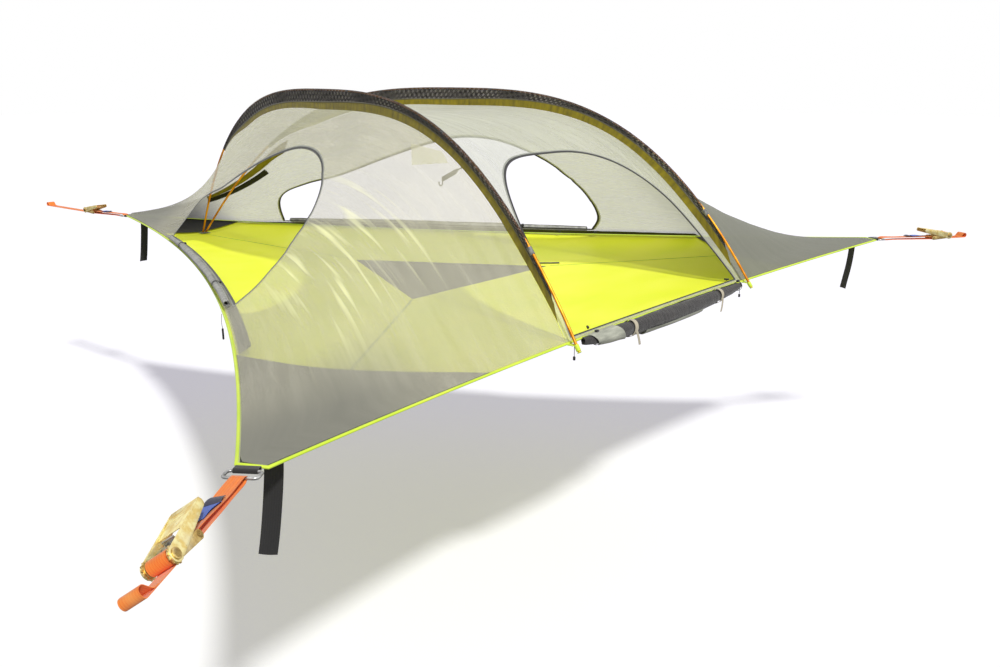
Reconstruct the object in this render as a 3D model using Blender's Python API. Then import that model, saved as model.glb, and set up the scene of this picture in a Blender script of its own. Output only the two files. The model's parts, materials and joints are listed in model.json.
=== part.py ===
# Tree tent: a three-cornered tent that hangs between three trees.
#
# The tent frame has its centre on the mirror plane, the rear tip towards +Y and the door towards -Y.
# A root empty moves the whole tent so that the origin is where the rear strap bears on its tree.

import math

import bmesh
import bpy
from mathutils import Matrix, Vector
from mathutils.bvhtree import BVHTree

for old in list(bpy.data.objects):
    bpy.data.objects.remove(old, do_unlink=True)

# Clearances shared by all pieces
GAP = 0.0003
OVERRUN = 0.02

# Plan of the floor
FRONT_SPAN = 4.226
TAIL_REACH = 2.980
FRONT_REACH = 1.210
SIDE_BOW = 0.225
FRONT_BOW = 0.163
FRONT_SAG = 0.030
TIP_CUT = 0.100
BINDING_WIDTH = 0.010
BINDING_BELOW = 0.0022
BINDING_ABOVE = 0.0062
FLOOR_THICKNESS = 0.0020
FLOOR_SAG = 0.040
FLOOR_FALL = 0.45
FLOOR_ROW_SHARES = (0.0, 0.5, 0.8, 1.0)

# Arched poles
REAR_FOOT_SETBACK = 0.913
REAR_FOOT_Y = TAIL_REACH - REAR_FOOT_SETBACK
REAR_FOOT_X = 0.010
FRONT_FOOT_X = 0.665
FRONT_FOOT_SETBACK = 0.100
FRONT_FOOT_Y = FRONT_FOOT_SETBACK - FRONT_REACH
FRONT_FOOT_Z = -0.047
ARCH_HEIGHT = 0.839
ARCH_FULLNESS = 2.94
ARCH_SKEW = 1.038
ARCH_BOW = 0.077
POLE_RADIUS = 0.0055
POLE_REAR_STEPS = 3
PASSAGE_CLEARANCE = 0.0040

# Fins that carry the poles, and the crest where the panels meet them
FIN_DEPTH = 0.105
FIN_REAR_SHARE = 0.55
FIN_END_DEPTH = 0.016
FIN_START_SHARE = 0.15
FIN_GROWN_SHARE = 0.26
FIN_SHRINK_SHARE = 0.90
SLEEVE_END_SHARE = 0.955
FIN_CLOTH = 0.0014
MESH_BAND_SHARE = 0.55
CREST_GAP = 0.0016
RIDGE_SHARE = 0.27
RIDGE_LINEAR_SHARE = 0.45
RIDGE_POWER = 3.6
TAIL_HALF_GAP = 0.0015
RIDGE_STEPS = 5
ARCH_STEPS = 20
WING_ROWS = 6
ROOF_ROWS = 8
ROOF_START_STEP = 2

# Canopy panels
CANOPY_THICKNESS = 0.0015
CANOPY_LIFT = 0.0048
WING_SLACK = 0.040
ROOF_SLACK = 0.030

# Door openings, as shares along the wing and up from its edge
SIDE_DOOR_SHARES = (
    (0.266, 0.05), (0.269, 0.43), (0.312, 0.530), (0.375, 0.580), (0.442, 0.665), (0.520, 0.765),
    (0.580, 0.815), (0.637, 0.78), (0.680, 0.66), (0.702, 0.50), (0.707, 0.34), (0.701, 0.18), (0.682, 0.05),
)
FRONT_DOOR_TOP_SHARE = 0.828
FRONT_DOOR_SILL_SHARE = 0.985
FRONT_DOOR_HALF_SHARE = 0.46
FRONT_DOOR_RISE_POWER = 2.0
FRONT_DOOR_WIDTH_POWER = 3.0
FRONT_DOOR_POINTS = 16
DOOR_CUT_DEPTH = 0.06

# Black floor trim
CORNER_PANEL_SIDE = 1.02
REAR_PANEL_SIDE = 0.90
CORNER_CLOTH = 0.0010
CORNER_LIFT = 0.0060
CORNER_LIFT_OVER = 0.10
CORNER_ROWS = 6
CORNER_COLUMNS = 4
SKIRT_HEIGHT_SHARE = 0.045
SKIRT_BASE_SHARE = 0.008
SKIRT_FROM_SHARE = 0.212
SKIRT_TO_SHARE = 0.780
SKIRT_CLOTH = 0.0010
SKIRT_CLEARANCE = 0.0080
SKIRT_GAP = 0.0009

# Floor hatch
HATCH_HALF_WIDTH = 0.47
HATCH_FRONT_Y = -0.13
HATCH_REAR_Y = 0.74
HATCH_CORNER_CUT = 0.0040
HATCH_SEAM_GAP = 0.0005
HATCH_THICKNESS = 0.0020
SLIDER_LENGTH = 0.030
SLIDER_WIDTH = 0.012
SLIDER_HEIGHT = 0.006
SLIDER_TAB_LENGTH = 0.060
SLIDER_TAB_WIDTH = 0.008
SLIDER_TAB_HEIGHT = 0.002
SLIDER_INSET = 0.035

# Pole seats and sleeve clips
SEAT_BORE_GAP = 0.0004
SEAT_WALL = 0.0025
SEAT_HEIGHT = 0.030
SEAT_TONGUE_THICKNESS = 0.002
SEAT_TONGUE_WIDTH = 0.025
SEAT_CUP_FLOOR = 0.003
REAR_SEAT_WIDTH = 0.060
REAR_SEAT_LENGTH = 0.040
REAR_SEAT_THICKNESS = 0.003
REAR_LEAN_SHARE = 0.70
CLIP_LENGTH = 0.030
CLIP_PLACE_SHARE = 0.30
CLIP_WALL = 0.003
CLIP_BORE_GAP = 0.0004

# Rolled doors
SIDE_ROLL_RADIUS = 0.021
SIDE_ROLL_FROM_SHARE = 0.275
SIDE_ROLL_TO_SHARE = 0.672
SIDE_ROLL_SILL_SHARE = 0.030
SIDE_ROLL_POINTS = 14
FRONT_ROLL_RADIUS = 0.036
FRONT_ROLL_END_RADIUS = 0.016
FRONT_ROLL_HALF = 0.600
FRONT_ROLL_DROP = 0.012
FRONT_ROLL_POINTS = 16
FRONT_ROLL_CLEARANCE = 0.0005
SIDE_ROLL_CLEARANCE = 0.0014

# Hanging webbing at the corners
TAIL_WIDTH = 0.048
TAIL_THICKNESS = 0.0016
TAIL_LENGTH = 0.270
TAIL_SETBACK = {"rear": 0.185, "left": 0.097, "right": 0.097}
TAIL_OFFSET = 0.020
TAIL_SWAY = 0.030
TAIL_STEPS = 8
TAIL_CURVE_SHARE = 1.5

# Corner loop and ring
WEBBING = 0.0016
LOOP_WIDTH = 0.058
RING_WIRE = 0.0040
RING_INNER_X = -0.064
RING_OUTER_X = -0.026
RING_HALF_WIDTH = 0.041
RING_CORNER = 0.010
RING_CORNER_POINTS = 4

# Ratchets, from the drum's axis, with the handle lying towards the tent
RATCHET_REACH = {"rear": 0.435, "left": 0.355, "right": 0.405}
RATCHET_ROLL = {"rear": 0.0, "left": 35.0, "right": 0.0}
TREE_REACH = {"rear": 1.000, "left": 0.480, "right": 0.530}
STRAP_WIDTH = 0.048
STRAP_GATHER_WIDTH = 0.034
FRAME_INNER = 0.0265
FRAME_PLATE = 0.0030
FRAME_HEAD_RADIUS = 0.0150
FRAME_NECK_X = -0.0175
FRAME_NECK_Z = -0.0020
FRAME_LENGTH = 0.100
FRAME_DROP = 0.010
FRAME_EYE_RADIUS = 0.011
BOLT_RADIUS = 0.006
GEAR_RADIUS = 0.020
GEAR_ROOT_RADIUS = 0.0165
GEAR_TEETH = 12
GEAR_LEAN_SHARE = 0.19
GEAR_THICKNESS = 0.0038
SHAFT_RADIUS = 0.009
SHAFT_SIDES = 16
SLOT_HEIGHT = 0.0030
SLOT_HALF_LENGTH = 0.0250
CAP_RADIUS = 0.012
CAP_THICKNESS = 0.0016
HANDLE_PLATE = 0.0025
HANDLE_HEAD_RADIUS = 0.017
HANDLE_END_RADIUS = 0.010
HANDLE_LENGTH = 0.160
HANDLE_REST_ANGLE = 12.0
PALM_START = 0.078
PALM_END = 0.168
PALM_HEIGHT = 0.0072
PALM_THICKNESS = 0.0020
PAWL_LENGTH = 0.040
PAWL_THICKNESS = 0.0030
PAWL_TAB_HEIGHT = 0.0110
PAWL_TAB_LENGTH = 0.0030
PAWL_TAB_HALF_WIDTH = 0.0150
CORE_RADIUS = 0.0135
LAP_GAP = 0.0005
LAP_STEPS = 16
EYE_HEIGHT = 0.024
EYE_LENGTH = 0.040
EYE_OVERLAP = 0.050

# Hook under the roof
HOOK_STRAP_SHARE = 0.82
HOOK_STRAP_RUN = 0.105
HOOK_STRAP_FALL = 0.050
HOOK_STRAP_WIDTH = 0.015
HOOK_STRAP_INSET = 0.014
HOOK_STRAP_BELOW = 0.006
HOOK_WIRE = 0.0022
HOOK_RADIUS = 0.009
HOOK_SHANK = 0.014
HOOK_POINTS = 8
HOOK_TURN = 200.0

# Zip pulls at the front door
PULL_RADIUS = 0.0012
PULL_BEAD_RADIUS = 0.0045
PULL_BEAD_LENGTH = 0.014
PULL_LENGTH = 0.070
PULL_FROM_ROLL = 0.035
PULL_CLEARANCE = 0.0006


# Materials

def material(name, colour, roughness, metallic=0.0):
    made = bpy.data.materials.get(name)
    if made is None:
        made = bpy.data.materials.new(name)
        made.use_nodes = True
        shader = made.node_tree.nodes["Principled BSDF"]
        shader.inputs["Base Color"].default_value = (*colour, 1.0)
        shader.inputs["Roughness"].default_value = roughness
        shader.inputs["Metallic"].default_value = metallic
        made.diffuse_color = (*colour, 1.0)
    return made


CANOPY = material("canopy_cloth", (0.55, 0.56, 0.48), 0.6)
FLOOR = material("floor_cloth", (0.66, 0.93, 0.06), 0.55)
NEON = material("neon_binding", (0.60, 1.00, 0.08), 0.5)
BLACK_CLOTH = material("black_cloth", (0.020, 0.020, 0.018), 0.8)
BLACK_MESH = material("black_mesh", (0.030, 0.028, 0.030), 0.9)
OLIVE = material("olive_cloth", (0.16, 0.13, 0.005), 0.7)
POLE = material("gold_pole", (0.75, 0.33, 0.03), 0.35, 0.6)
GREY_PLASTIC = material("grey_plastic", (0.30, 0.30, 0.30), 0.5)
GREY_CLOTH = material("grey_cloth", (0.24, 0.24, 0.23), 0.8)
BLACK_WEBBING = material("black_webbing", (0.012, 0.011, 0.010), 0.85)
ORANGE_WEBBING = material("orange_webbing", (1.00, 0.16, 0.03), 0.75)
STEEL = material("steel", (0.60, 0.60, 0.60), 0.3, 1.0)
ZINC = material("gold_zinc", (0.62, 0.45, 0.16), 0.35, 1.0)
BLACK_PLASTIC = material("black_plastic", (0.010, 0.010, 0.012), 0.45)


# Shape helpers

def smooth_step(low, high, value):
    share = min(1.0, max(0.0, (value - low) / (high - low)))
    return share * share * (3 - 2 * share)


def add_mesh(name, points, faces, cloth, parent=None):
    mesh = bpy.data.meshes.new(name)
    mesh.from_pydata([tuple(p) for p in points], [], faces)
    work = bmesh.new()
    work.from_mesh(mesh)
    bmesh.ops.recalc_face_normals(work, faces=work.faces)
    work.to_mesh(mesh)
    work.free()
    made = bpy.data.objects.new(name, mesh)
    bpy.context.scene.collection.objects.link(made)
    made.parent = parent
    if cloth is not None:
        mesh.materials.append(cloth)
    return made


def grid_faces(rows, columns):
    faces = []
    for i in range(rows - 1):
        for j in range(columns - 1):
            a = i * columns + j
            faces.append((a, a + 1, a + columns + 1, a + columns))
    return faces


def thicken(piece, thickness):
    solid = piece.modifiers.new("thickness", "SOLIDIFY")
    solid.thickness = thickness
    solid.offset = 0
    solid.use_even_offset = True
    return solid


def add_sheet(name, rows, thickness, cloth, parent=None):
    columns = len(rows[0])
    points = [p for row in rows for p in row]
    made = add_mesh(name, points, grid_faces(len(rows), columns), cloth, parent)
    thicken(made, thickness)
    return made


def add_loft(name, sections, cloth, closed=False, parent=None):
    # Each section is a ring of points, and the rings are joined in order.
    size = len(sections[0])
    count = len(sections)
    faces = []
    for i in range(count if closed else count - 1):
        a = i * size
        b = ((i + 1) % count) * size
        for j in range(size):
            k = (j + 1) % size
            faces.append((a + j, a + k, b + k, b + j))
    if not closed:
        faces.append(tuple(reversed(range(size))))
        faces.append(tuple(range((count - 1) * size, count * size)))
    return add_mesh(name, [p for ring in sections for p in ring], faces, cloth, parent)


def add_prism(name, outline, low, high, cloth, parent=None):
    # An outline in x and z, pulled along y.
    rings = [[Vector((x, y, z)) for x, z in outline] for y in (low, high)]
    return add_loft(name, rings, cloth, False, parent)


def add_box(name, low, high, cloth, parent=None):
    outline = [(low[0], low[2]), (high[0], low[2]), (high[0], high[2]), (low[0], high[2])]
    return add_prism(name, outline, low[1], high[1], cloth, parent)


def arc_points(centre_x, centre_z, radius, start, end, steps):
    turn = [math.radians(start + (end - start) * i / steps) for i in range(steps + 1)]
    return [(centre_x + radius * math.cos(a), centre_z + radius * math.sin(a)) for a in turn]


def circle_outline(radius, sides, centre_x=0.0, centre_z=0.0):
    return arc_points(centre_x, centre_z, radius, 0, 360 - 360 / sides, sides - 1)


def hide(piece):
    piece.hide_render = True
    piece.display_type = "WIRE"


def combine(piece, other, operation):
    hide(other)
    step = piece.modifiers.new(other.name, "BOOLEAN")
    step.operation = operation
    step.object = other


def add_tube(name, points, radius, cloth, parent=None, radii=None, cyclic=False, sides=2):
    curve = bpy.data.curves.new(name, "CURVE")
    curve.dimensions = "3D"
    curve.bevel_depth = radius
    curve.bevel_resolution = sides
    curve.use_fill_caps = not cyclic
    line = curve.splines.new("POLY")
    line.points.add(len(points) - 1)
    line.use_cyclic_u = cyclic
    line.use_smooth = True
    for i, place in enumerate(points):
        line.points[i].co = (*place, 1.0)
        line.points[i].radius = radii[i] if radii else 1.0
    made = bpy.data.objects.new(name, curve)
    bpy.context.scene.collection.objects.link(made)
    made.parent = parent
    curve.materials.append(cloth)
    return made


def add_empty(name, place, parent=None, turn=(0.0, 0.0, 0.0)):
    made = bpy.data.objects.new(name, None)
    bpy.context.scene.collection.objects.link(made)
    made.location = place
    made.rotation_euler = turn
    made.parent = parent
    return made


# The tape's run from drum to tree, needed for the origin
LAP_INNER = CORE_RADIUS + LAP_GAP + WEBBING / 2
LAP_OUTER = LAP_INNER + WEBBING + LAP_GAP
EYE_CENTRE_Z = -LAP_OUTER + EYE_HEIGHT / 2
REAR_BEARING = TAIL_REACH + TREE_REACH["rear"] - WEBBING / 2

tent = add_empty("tent", (0, -REAR_BEARING, -EYE_CENTRE_Z))

TIPS = {
    "rear": Vector((0, TAIL_REACH, 0)),
    "left": Vector((-FRONT_SPAN / 2, -FRONT_REACH, 0)),
    "right": Vector((FRONT_SPAN / 2, -FRONT_REACH, 0)),
}
CENTRE = sum(TIPS.values(), Vector()) / 3


# Lines of the tent

def edge_point(start, end, share, bow, sag=0.0):
    run = TIPS[end] - TIPS[start]
    inward = Vector((-run.y, run.x, 0)).normalized()
    if inward.dot(CENTRE - TIPS[start]) < 0:
        inward.negate()
    place = TIPS[start] + run * share
    curve = 4 * share * (1 - share)
    return place + inward * (bow * curve) - Vector((0, 0, sag * curve))


def side_edge(side, share):
    return edge_point("rear", "left" if side < 0 else "right", share, SIDE_BOW)


def front_edge(share):
    return edge_point("left", "right", share, FRONT_BOW, FRONT_SAG)


def floor_height(x, y):
    # The floor hangs from its edges and is flat further in.
    height = 0.0
    nearest = None
    for start, end, bow, sag in (
        ("rear", "left", SIDE_BOW, 0.0), ("rear", "right", SIDE_BOW, 0.0),
        ("left", "right", FRONT_BOW, FRONT_SAG),
    ):
        run = TIPS[end] - TIPS[start]
        along = run.normalized()
        offset = Vector((x, y, 0)) - TIPS[start]
        share = min(1.0, max(0.0, offset.dot(along) / run.length))
        curve = 4 * share * (1 - share)
        inward = abs(offset.cross(along).z) - bow * curve
        if nearest is None or inward < nearest:
            nearest = inward
            height = -sag * curve
    rest = (1 - min(1.0, max(0.0, nearest) / FLOOR_FALL)) ** 3
    return height * rest - FLOOR_SAG * (1 - rest)


def foot_share(side):
    # Where the crest comes down on the front edge.
    return 0.5 + side * FRONT_FOOT_X / FRONT_SPAN


# Stations that neighbours share, so that their flat facets match

TIP_SHARE = TIP_CUT / (TIPS["left"] - TIPS["rear"]).length
FRONT_TIP_SHARE = TIP_CUT / FRONT_SPAN


def wing_stations():
    ridge = [TIP_SHARE + (RIDGE_SHARE - TIP_SHARE) * i / RIDGE_STEPS for i in range(RIDGE_STEPS)]
    arch = [RIDGE_SHARE + (1 - RIDGE_SHARE) * i / ARCH_STEPS for i in range(ARCH_STEPS + 1)]
    return ridge + arch


STATIONS = wing_stations()


def edge_share(share):
    # The side edge stops short of the tip at its front end too.
    return TIP_SHARE + (share - TIP_SHARE) * (1 - 2 * TIP_SHARE) / (1 - TIP_SHARE)


def front_stations():
    foot = foot_share(-1)
    left = [FRONT_TIP_SHARE + (foot - FRONT_TIP_SHARE) * i / WING_ROWS for i in range(WING_ROWS)]
    middle = [foot + (1 - 2 * foot) * i / ROOF_ROWS for i in range(ROOF_ROWS)]
    return left + middle + [1 - foot] + [1 - share for share in reversed(left)]


FRONT_STATIONS = front_stations()


def perimeter():
    # Once round the edge, from the rear tip down the left side, along the front and back up the right side.
    left = [side_edge(-1, edge_share(share)) for share in STATIONS]
    front = [front_edge(share) for share in FRONT_STATIONS]
    right = [side_edge(1, edge_share(share)) for share in reversed(STATIONS)]
    return left + front + right


def offset_loop(loop, distance):
    # Moves a closed outline inwards, with mitred corners.
    moved = []
    count = len(loop)
    for i, place in enumerate(loop):
        before = (place - loop[i - 1]).to_2d().normalized()
        after = (loop[(i + 1) % count] - place).to_2d().normalized()
        normal_a = Vector((-before.y, before.x))
        normal_b = Vector((-after.y, after.x))
        mitre = (normal_a + normal_b).normalized()
        reach = distance / max(0.3, mitre.dot(normal_a))
        moved.append(place + Vector((mitre.x, mitre.y, 0)) * reach)
    return moved


EDGE_LOOP = perimeter()
INNER_LOOP = offset_loop(EDGE_LOOP, BINDING_WIDTH / 2 + GAP)
CANOPY_LOOP = offset_loop(EDGE_LOOP, BINDING_WIDTH / 2 + GAP + CANOPY_THICKNESS)
SIDE_COUNT = len(STATIONS)
FRONT_COUNT = len(FRONT_STATIONS)


def canopy_side(side, station):
    if side < 0:
        return CANOPY_LOOP[station]
    return CANOPY_LOOP[SIDE_COUNT + FRONT_COUNT + SIDE_COUNT - 1 - station]


def canopy_front(index):
    return CANOPY_LOOP[SIDE_COUNT + index]


# Floor surface

def hatch_corners():
    return [
        Vector((0, HATCH_REAR_Y, -FLOOR_SAG)),
        Vector((-HATCH_HALF_WIDTH, HATCH_FRONT_Y, -FLOOR_SAG)),
        Vector((HATCH_HALF_WIDTH, HATCH_FRONT_Y, -FLOOR_SAG)),
    ]


def hatch_outline():
    # One point for each point of the floor's edge.
    rear, left, right = hatch_corners()
    points = []
    for i in range(SIDE_COUNT):
        points.append(rear.lerp(left, (i + 0.5) / SIDE_COUNT))
    points[0] = rear.copy()
    points[-1] = left.copy()
    for i in range(FRONT_COUNT):
        points.append(left.lerp(right, (i + 1) / (FRONT_COUNT + 1)))
    for i in range(SIDE_COUNT):
        points.append(right.lerp(rear, (i + 0.5) / SIDE_COUNT))
    points[SIDE_COUNT + FRONT_COUNT] = right.copy()
    return points


def floor_rows():
    hole = hatch_outline()
    rows = []
    for share in FLOOR_ROW_SHARES:
        row = []
        for inner, outer in zip(hole, INNER_LOOP):
            place = inner.lerp(outer, share)
            height = outer.z if share == 1.0 else floor_height(place.x, place.y)
            row.append(Vector((place.x, place.y, height if share > 0 else -FLOOR_SAG)))
        rows.append(row)
    return rows


def ring_faces(rows):
    count = len(rows[0])
    faces = []
    for i in range(len(rows) - 1):
        for j in range(count):
            k = (j + 1) % count
            faces.append((i * count + j, i * count + k, (i + 1) * count + k, (i + 1) * count + j))
    return faces


FLOOR_ROWS = floor_rows()
FLOOR_TREE = BVHTree.FromPolygons([p for row in FLOOR_ROWS for p in row], ring_faces(FLOOR_ROWS))


def floor_at(x, y):
    # The height of the made floor, facets and all.
    above = Vector((x, y, ARCH_HEIGHT))
    place, _, _, _ = FLOOR_TREE.ray_cast(above, Vector((0, 0, -1)))
    return floor_height(x, y) if place is None else place.z


REAR_SEAT_CORNERS = [
    (REAR_SEAT_WIDTH * a, REAR_FOOT_Y + REAR_SEAT_LENGTH * b) for a in (-0.5, 0, 0.5) for b in (-0.5, 0, 0.5)
]
REAR_SEAT_BASE = max(floor_at(x, y) for x, y in REAR_SEAT_CORNERS) + FLOOR_THICKNESS / 2 + 2 * GAP
REAR_FOOT_Z = REAR_SEAT_BASE + REAR_SEAT_THICKNESS + GAP + POLE_RADIUS * REAR_LEAN_SHARE


def pole_point(side, share):
    skew = share ** ARCH_SKEW
    x = side * (REAR_FOOT_X + (FRONT_FOOT_X - REAR_FOOT_X) * share + ARCH_BOW * 4 * share * (1 - share))
    y = REAR_FOOT_Y + (FRONT_FOOT_Y - REAR_FOOT_Y) * share
    rise = ARCH_HEIGHT * (1 - abs(2 * skew - 1) ** ARCH_FULLNESS)
    return Vector((x, y, REAR_FOOT_Z + (FRONT_FOOT_Z - REAR_FOOT_Z) * share + rise))


def fin_direction(side, share):
    # Away from the tent, square to the pole, in the upright plane of the arch.
    near = 0.001
    tangent = pole_point(side, min(1.0, share + near)) - pole_point(side, max(0.0, share - near))
    plan = pole_point(side, 1.0) - pole_point(side, 0.0)
    across = Vector((-plan.y, plan.x, 0)).normalized()
    out = tangent.cross(across).normalized()
    return out if out.z > 0 else -out


def fin_depth(share):
    grown = FIN_DEPTH * (FIN_REAR_SHARE + (1 - FIN_REAR_SHARE) * share)
    grown *= 1 - 0.5 * smooth_step(FIN_SHRINK_SHARE, 1.0, share)
    return FIN_END_DEPTH + (grown - FIN_END_DEPTH) * smooth_step(FIN_START_SHARE, FIN_GROWN_SHARE, share)


def fin_point(side, share, depth):
    return pole_point(side, share) - fin_direction(side, share) * depth


def wing_share(arch_share):
    return RIDGE_SHARE + (1 - RIDGE_SHARE) * (arch_share - FIN_START_SHARE) / (1 - FIN_START_SHARE)


def crest_point(side, share):
    # The line where wing and roof meet: a ridge up from the tail, then the inner edge of the fin.
    if share < RIDGE_SHARE:
        start = fin_point(side, FIN_START_SHARE, FIN_END_DEPTH)
        v = share / RIDGE_SHARE
        x = side * (TAIL_HALF_GAP + (abs(start.x) - TAIL_HALF_GAP) * v * v)
        y = TAIL_REACH + (start.y - TAIL_REACH) * v
        rise = RIDGE_LINEAR_SHARE * v + (1 - RIDGE_LINEAR_SHARE) * v ** RIDGE_POWER
        z = CANOPY_LIFT + (start.z - CANOPY_LIFT) * rise
        return Vector((x, y, z))
    arch_share = FIN_START_SHARE + (1 - FIN_START_SHARE) * (share - RIDGE_SHARE) / (1 - RIDGE_SHARE)
    place = fin_point(side, arch_share, fin_depth(arch_share))
    ground = front_edge(foot_share(side))
    ground += Vector((0, BINDING_WIDTH / 2 + CREST_GAP, CANOPY_LIFT))
    return place.lerp(ground, smooth_step(FIN_SHRINK_SHARE, 1.0, arch_share))


# Canopy surfaces

def wing_row(side, station):
    # One line of points from the crest down to the edge.
    share = STATIONS[station]
    top = crest_point(side, share)
    foot = canopy_side(side, station) + Vector((0, 0, CANOPY_LIFT))
    run = foot - top
    top = top + run.normalized() * CREST_GAP
    run = foot - top
    slack = WING_SLACK * math.sin(math.pi * share)
    row = []
    for i in range(WING_ROWS + 1):
        r = i / WING_ROWS
        place = top + run * r - Vector((0, 0, slack * 4 * r * (1 - r)))
        row.append(place)
    return row


def wing_rows(side):
    rows = [wing_row(side, station) for station in range(SIDE_COUNT - 1)]
    last = []
    for i in range(WING_ROWS + 1):
        index = WING_ROWS - i if side < 0 else FRONT_COUNT - 1 - WING_ROWS + i
        last.append(canopy_front(index) + Vector((0, GAP, CANOPY_LIFT)))
    last[0] = last[0] + Vector((side * CREST_GAP, 0, 0))
    rows.append(last)
    return rows


def roof_row(station):
    share = STATIONS[station]
    if station == SIDE_COUNT - 1:
        first = WING_ROWS
        row = [canopy_front(first + i) + Vector((0, GAP, CANOPY_LIFT)) for i in range(ROOF_ROWS + 1)]
        row[0] = row[0] + Vector((CREST_GAP, 0, 0))
        row[-1] = row[-1] - Vector((CREST_GAP, 0, 0))
        return row
    left = crest_point(-1, share)
    right = crest_point(1, share)
    across = (right - left).normalized()
    left = left + across * CREST_GAP
    right = right - across * CREST_GAP
    width_share = (right - left).length / (2 * FRONT_FOOT_X)
    row = []
    for i in range(ROOF_ROWS + 1):
        r = i / ROOF_ROWS
        drop = ROOF_SLACK * width_share * 4 * r * (1 - r) * smooth_step(1.0, FIN_SHRINK_SHARE, share)
        row.append(left.lerp(right, r) - Vector((0, 0, drop)))
    return row


def between(rows, along, across):
    # A point of a surface, from its rows, at shares of its length and width.
    a = min(len(rows) - 1.000001, max(0.0, along)) if len(rows) > 1 else 0.0
    b = min(len(rows[0]) - 1.000001, max(0.0, across * (len(rows[0]) - 1)))
    i, j = int(a), int(b)
    top = rows[i][j].lerp(rows[i][j + 1], b - j)
    low = rows[i + 1][j].lerp(rows[i + 1][j + 1], b - j)
    return top.lerp(low, a - i)


def station_of(share):
    # The row number, with its fraction, at a share of the wing's length.
    for i in range(len(STATIONS) - 1):
        if share <= STATIONS[i + 1]:
            return i + max(0.0, (share - STATIONS[i]) / (STATIONS[i + 1] - STATIONS[i]))
    return len(STATIONS) - 1.0


WING_ROWS_OF = {-1: wing_rows(-1), 1: wing_rows(1)}
ROOF_GRID = [roof_row(station) for station in range(ROOF_START_STEP, SIDE_COUNT)]


def wing_point(side, share, down):
    return between(WING_ROWS_OF[side], station_of(share), down)


def roof_point(share, across):
    return between(ROOF_GRID, station_of(share) - ROOF_START_STEP, across)


def wing_normal(side, share, down):
    near = 0.01
    along = wing_point(side, share + near, down) - wing_point(side, share - near, down)
    fall = wing_point(side, share, min(1.0, down + near)) - wing_point(side, share, max(0.0, down - near))
    out = along.cross(fall).normalized()
    return out if out.dot(wing_point(side, share, down) - CENTRE - Vector((0, 0, -ARCH_HEIGHT))) > 0 else -out


def smooth_through(points, steps):
    # A smooth line through points, which stay on it.
    line = []
    count = len(points)
    for i in range(count - 1):
        before = points[max(0, i - 1)]
        after = points[min(count - 1, i + 2)]
        for j in range(steps):
            t = j / steps
            a, b = points[i], points[i + 1]
            tangent_a = [(v - w) / 2 for v, w in zip(b, before)]
            tangent_b = [(v - w) / 2 for v, w in zip(after, a)]
            h = (
                2 * t ** 3 - 3 * t ** 2 + 1, t ** 3 - 2 * t ** 2 + t,
                -2 * t ** 3 + 3 * t ** 2, t ** 3 - t ** 2,
            )
            line.append(tuple(
                h[0] * a[k] + h[1] * tangent_a[k] + h[2] * b[k] + h[3] * tangent_b[k] for k in range(len(a))
            ))
    line.append(tuple(points[-1]))
    return line


def door_cutter(name, places, direction):
    # Cuts a door's outline through a panel, along one direction.
    low = [p - direction * DOOR_CUT_DEPTH for p in places]
    high = [p + direction * DOOR_CUT_DEPTH for p in places]
    made = add_mesh(name, low + high, [], None, tent)
    work = bmesh.new()
    work.from_mesh(made.data)
    work.verts.ensure_lookup_table()
    count = len(places)
    for i in range(count):
        j = (i + 1) % count
        work.faces.new([work.verts[k] for k in (i, j, count + j, count + i)])
    lid = work.faces.new([work.verts[k] for k in range(count)])
    base = work.faces.new([work.verts[k] for k in range(count, 2 * count)])
    bmesh.ops.triangulate(work, faces=[lid, base], ngon_method="EAR_CLIP")
    bmesh.ops.recalc_face_normals(work, faces=work.faces)
    work.to_mesh(made.data)
    work.free()
    return made


def flat_direction(places):
    # The mean normal of an outline.
    total = Vector()
    middle = sum(places, Vector()) / len(places)
    for i, place in enumerate(places):
        total += (place - middle).cross(places[(i + 1) % len(places)] - middle)
    return total.normalized()


# Floor and its trim

def make_floor():
    places = [p for row in FLOOR_ROWS for p in row]
    floor = add_mesh("floor_panel", places, ring_faces(FLOOR_ROWS), FLOOR, tent)
    thicken(floor, FLOOR_THICKNESS)


def make_binding():
    inner = offset_loop(EDGE_LOOP, BINDING_WIDTH / 2)
    outer = offset_loop(EDGE_LOOP, -BINDING_WIDTH / 2)
    low = Vector((0, 0, -BINDING_BELOW))
    high = Vector((0, 0, BINDING_ABOVE))
    sections = [(a + low, b + low, b + high, a + high) for a, b in zip(inner, outer)]
    add_loft("edge_binding", sections, NEON, True, tent)


def blunted(corners):
    # The flap's outline with its two front corners cut off square to the sides.
    rear, left, right = corners
    outline = [rear]
    for corner, others in ((left, (rear, right)), (right, (left, rear))):
        outline += [corner + (other - corner).normalized() * HATCH_CORNER_CUT for other in others]
    return outline


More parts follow.
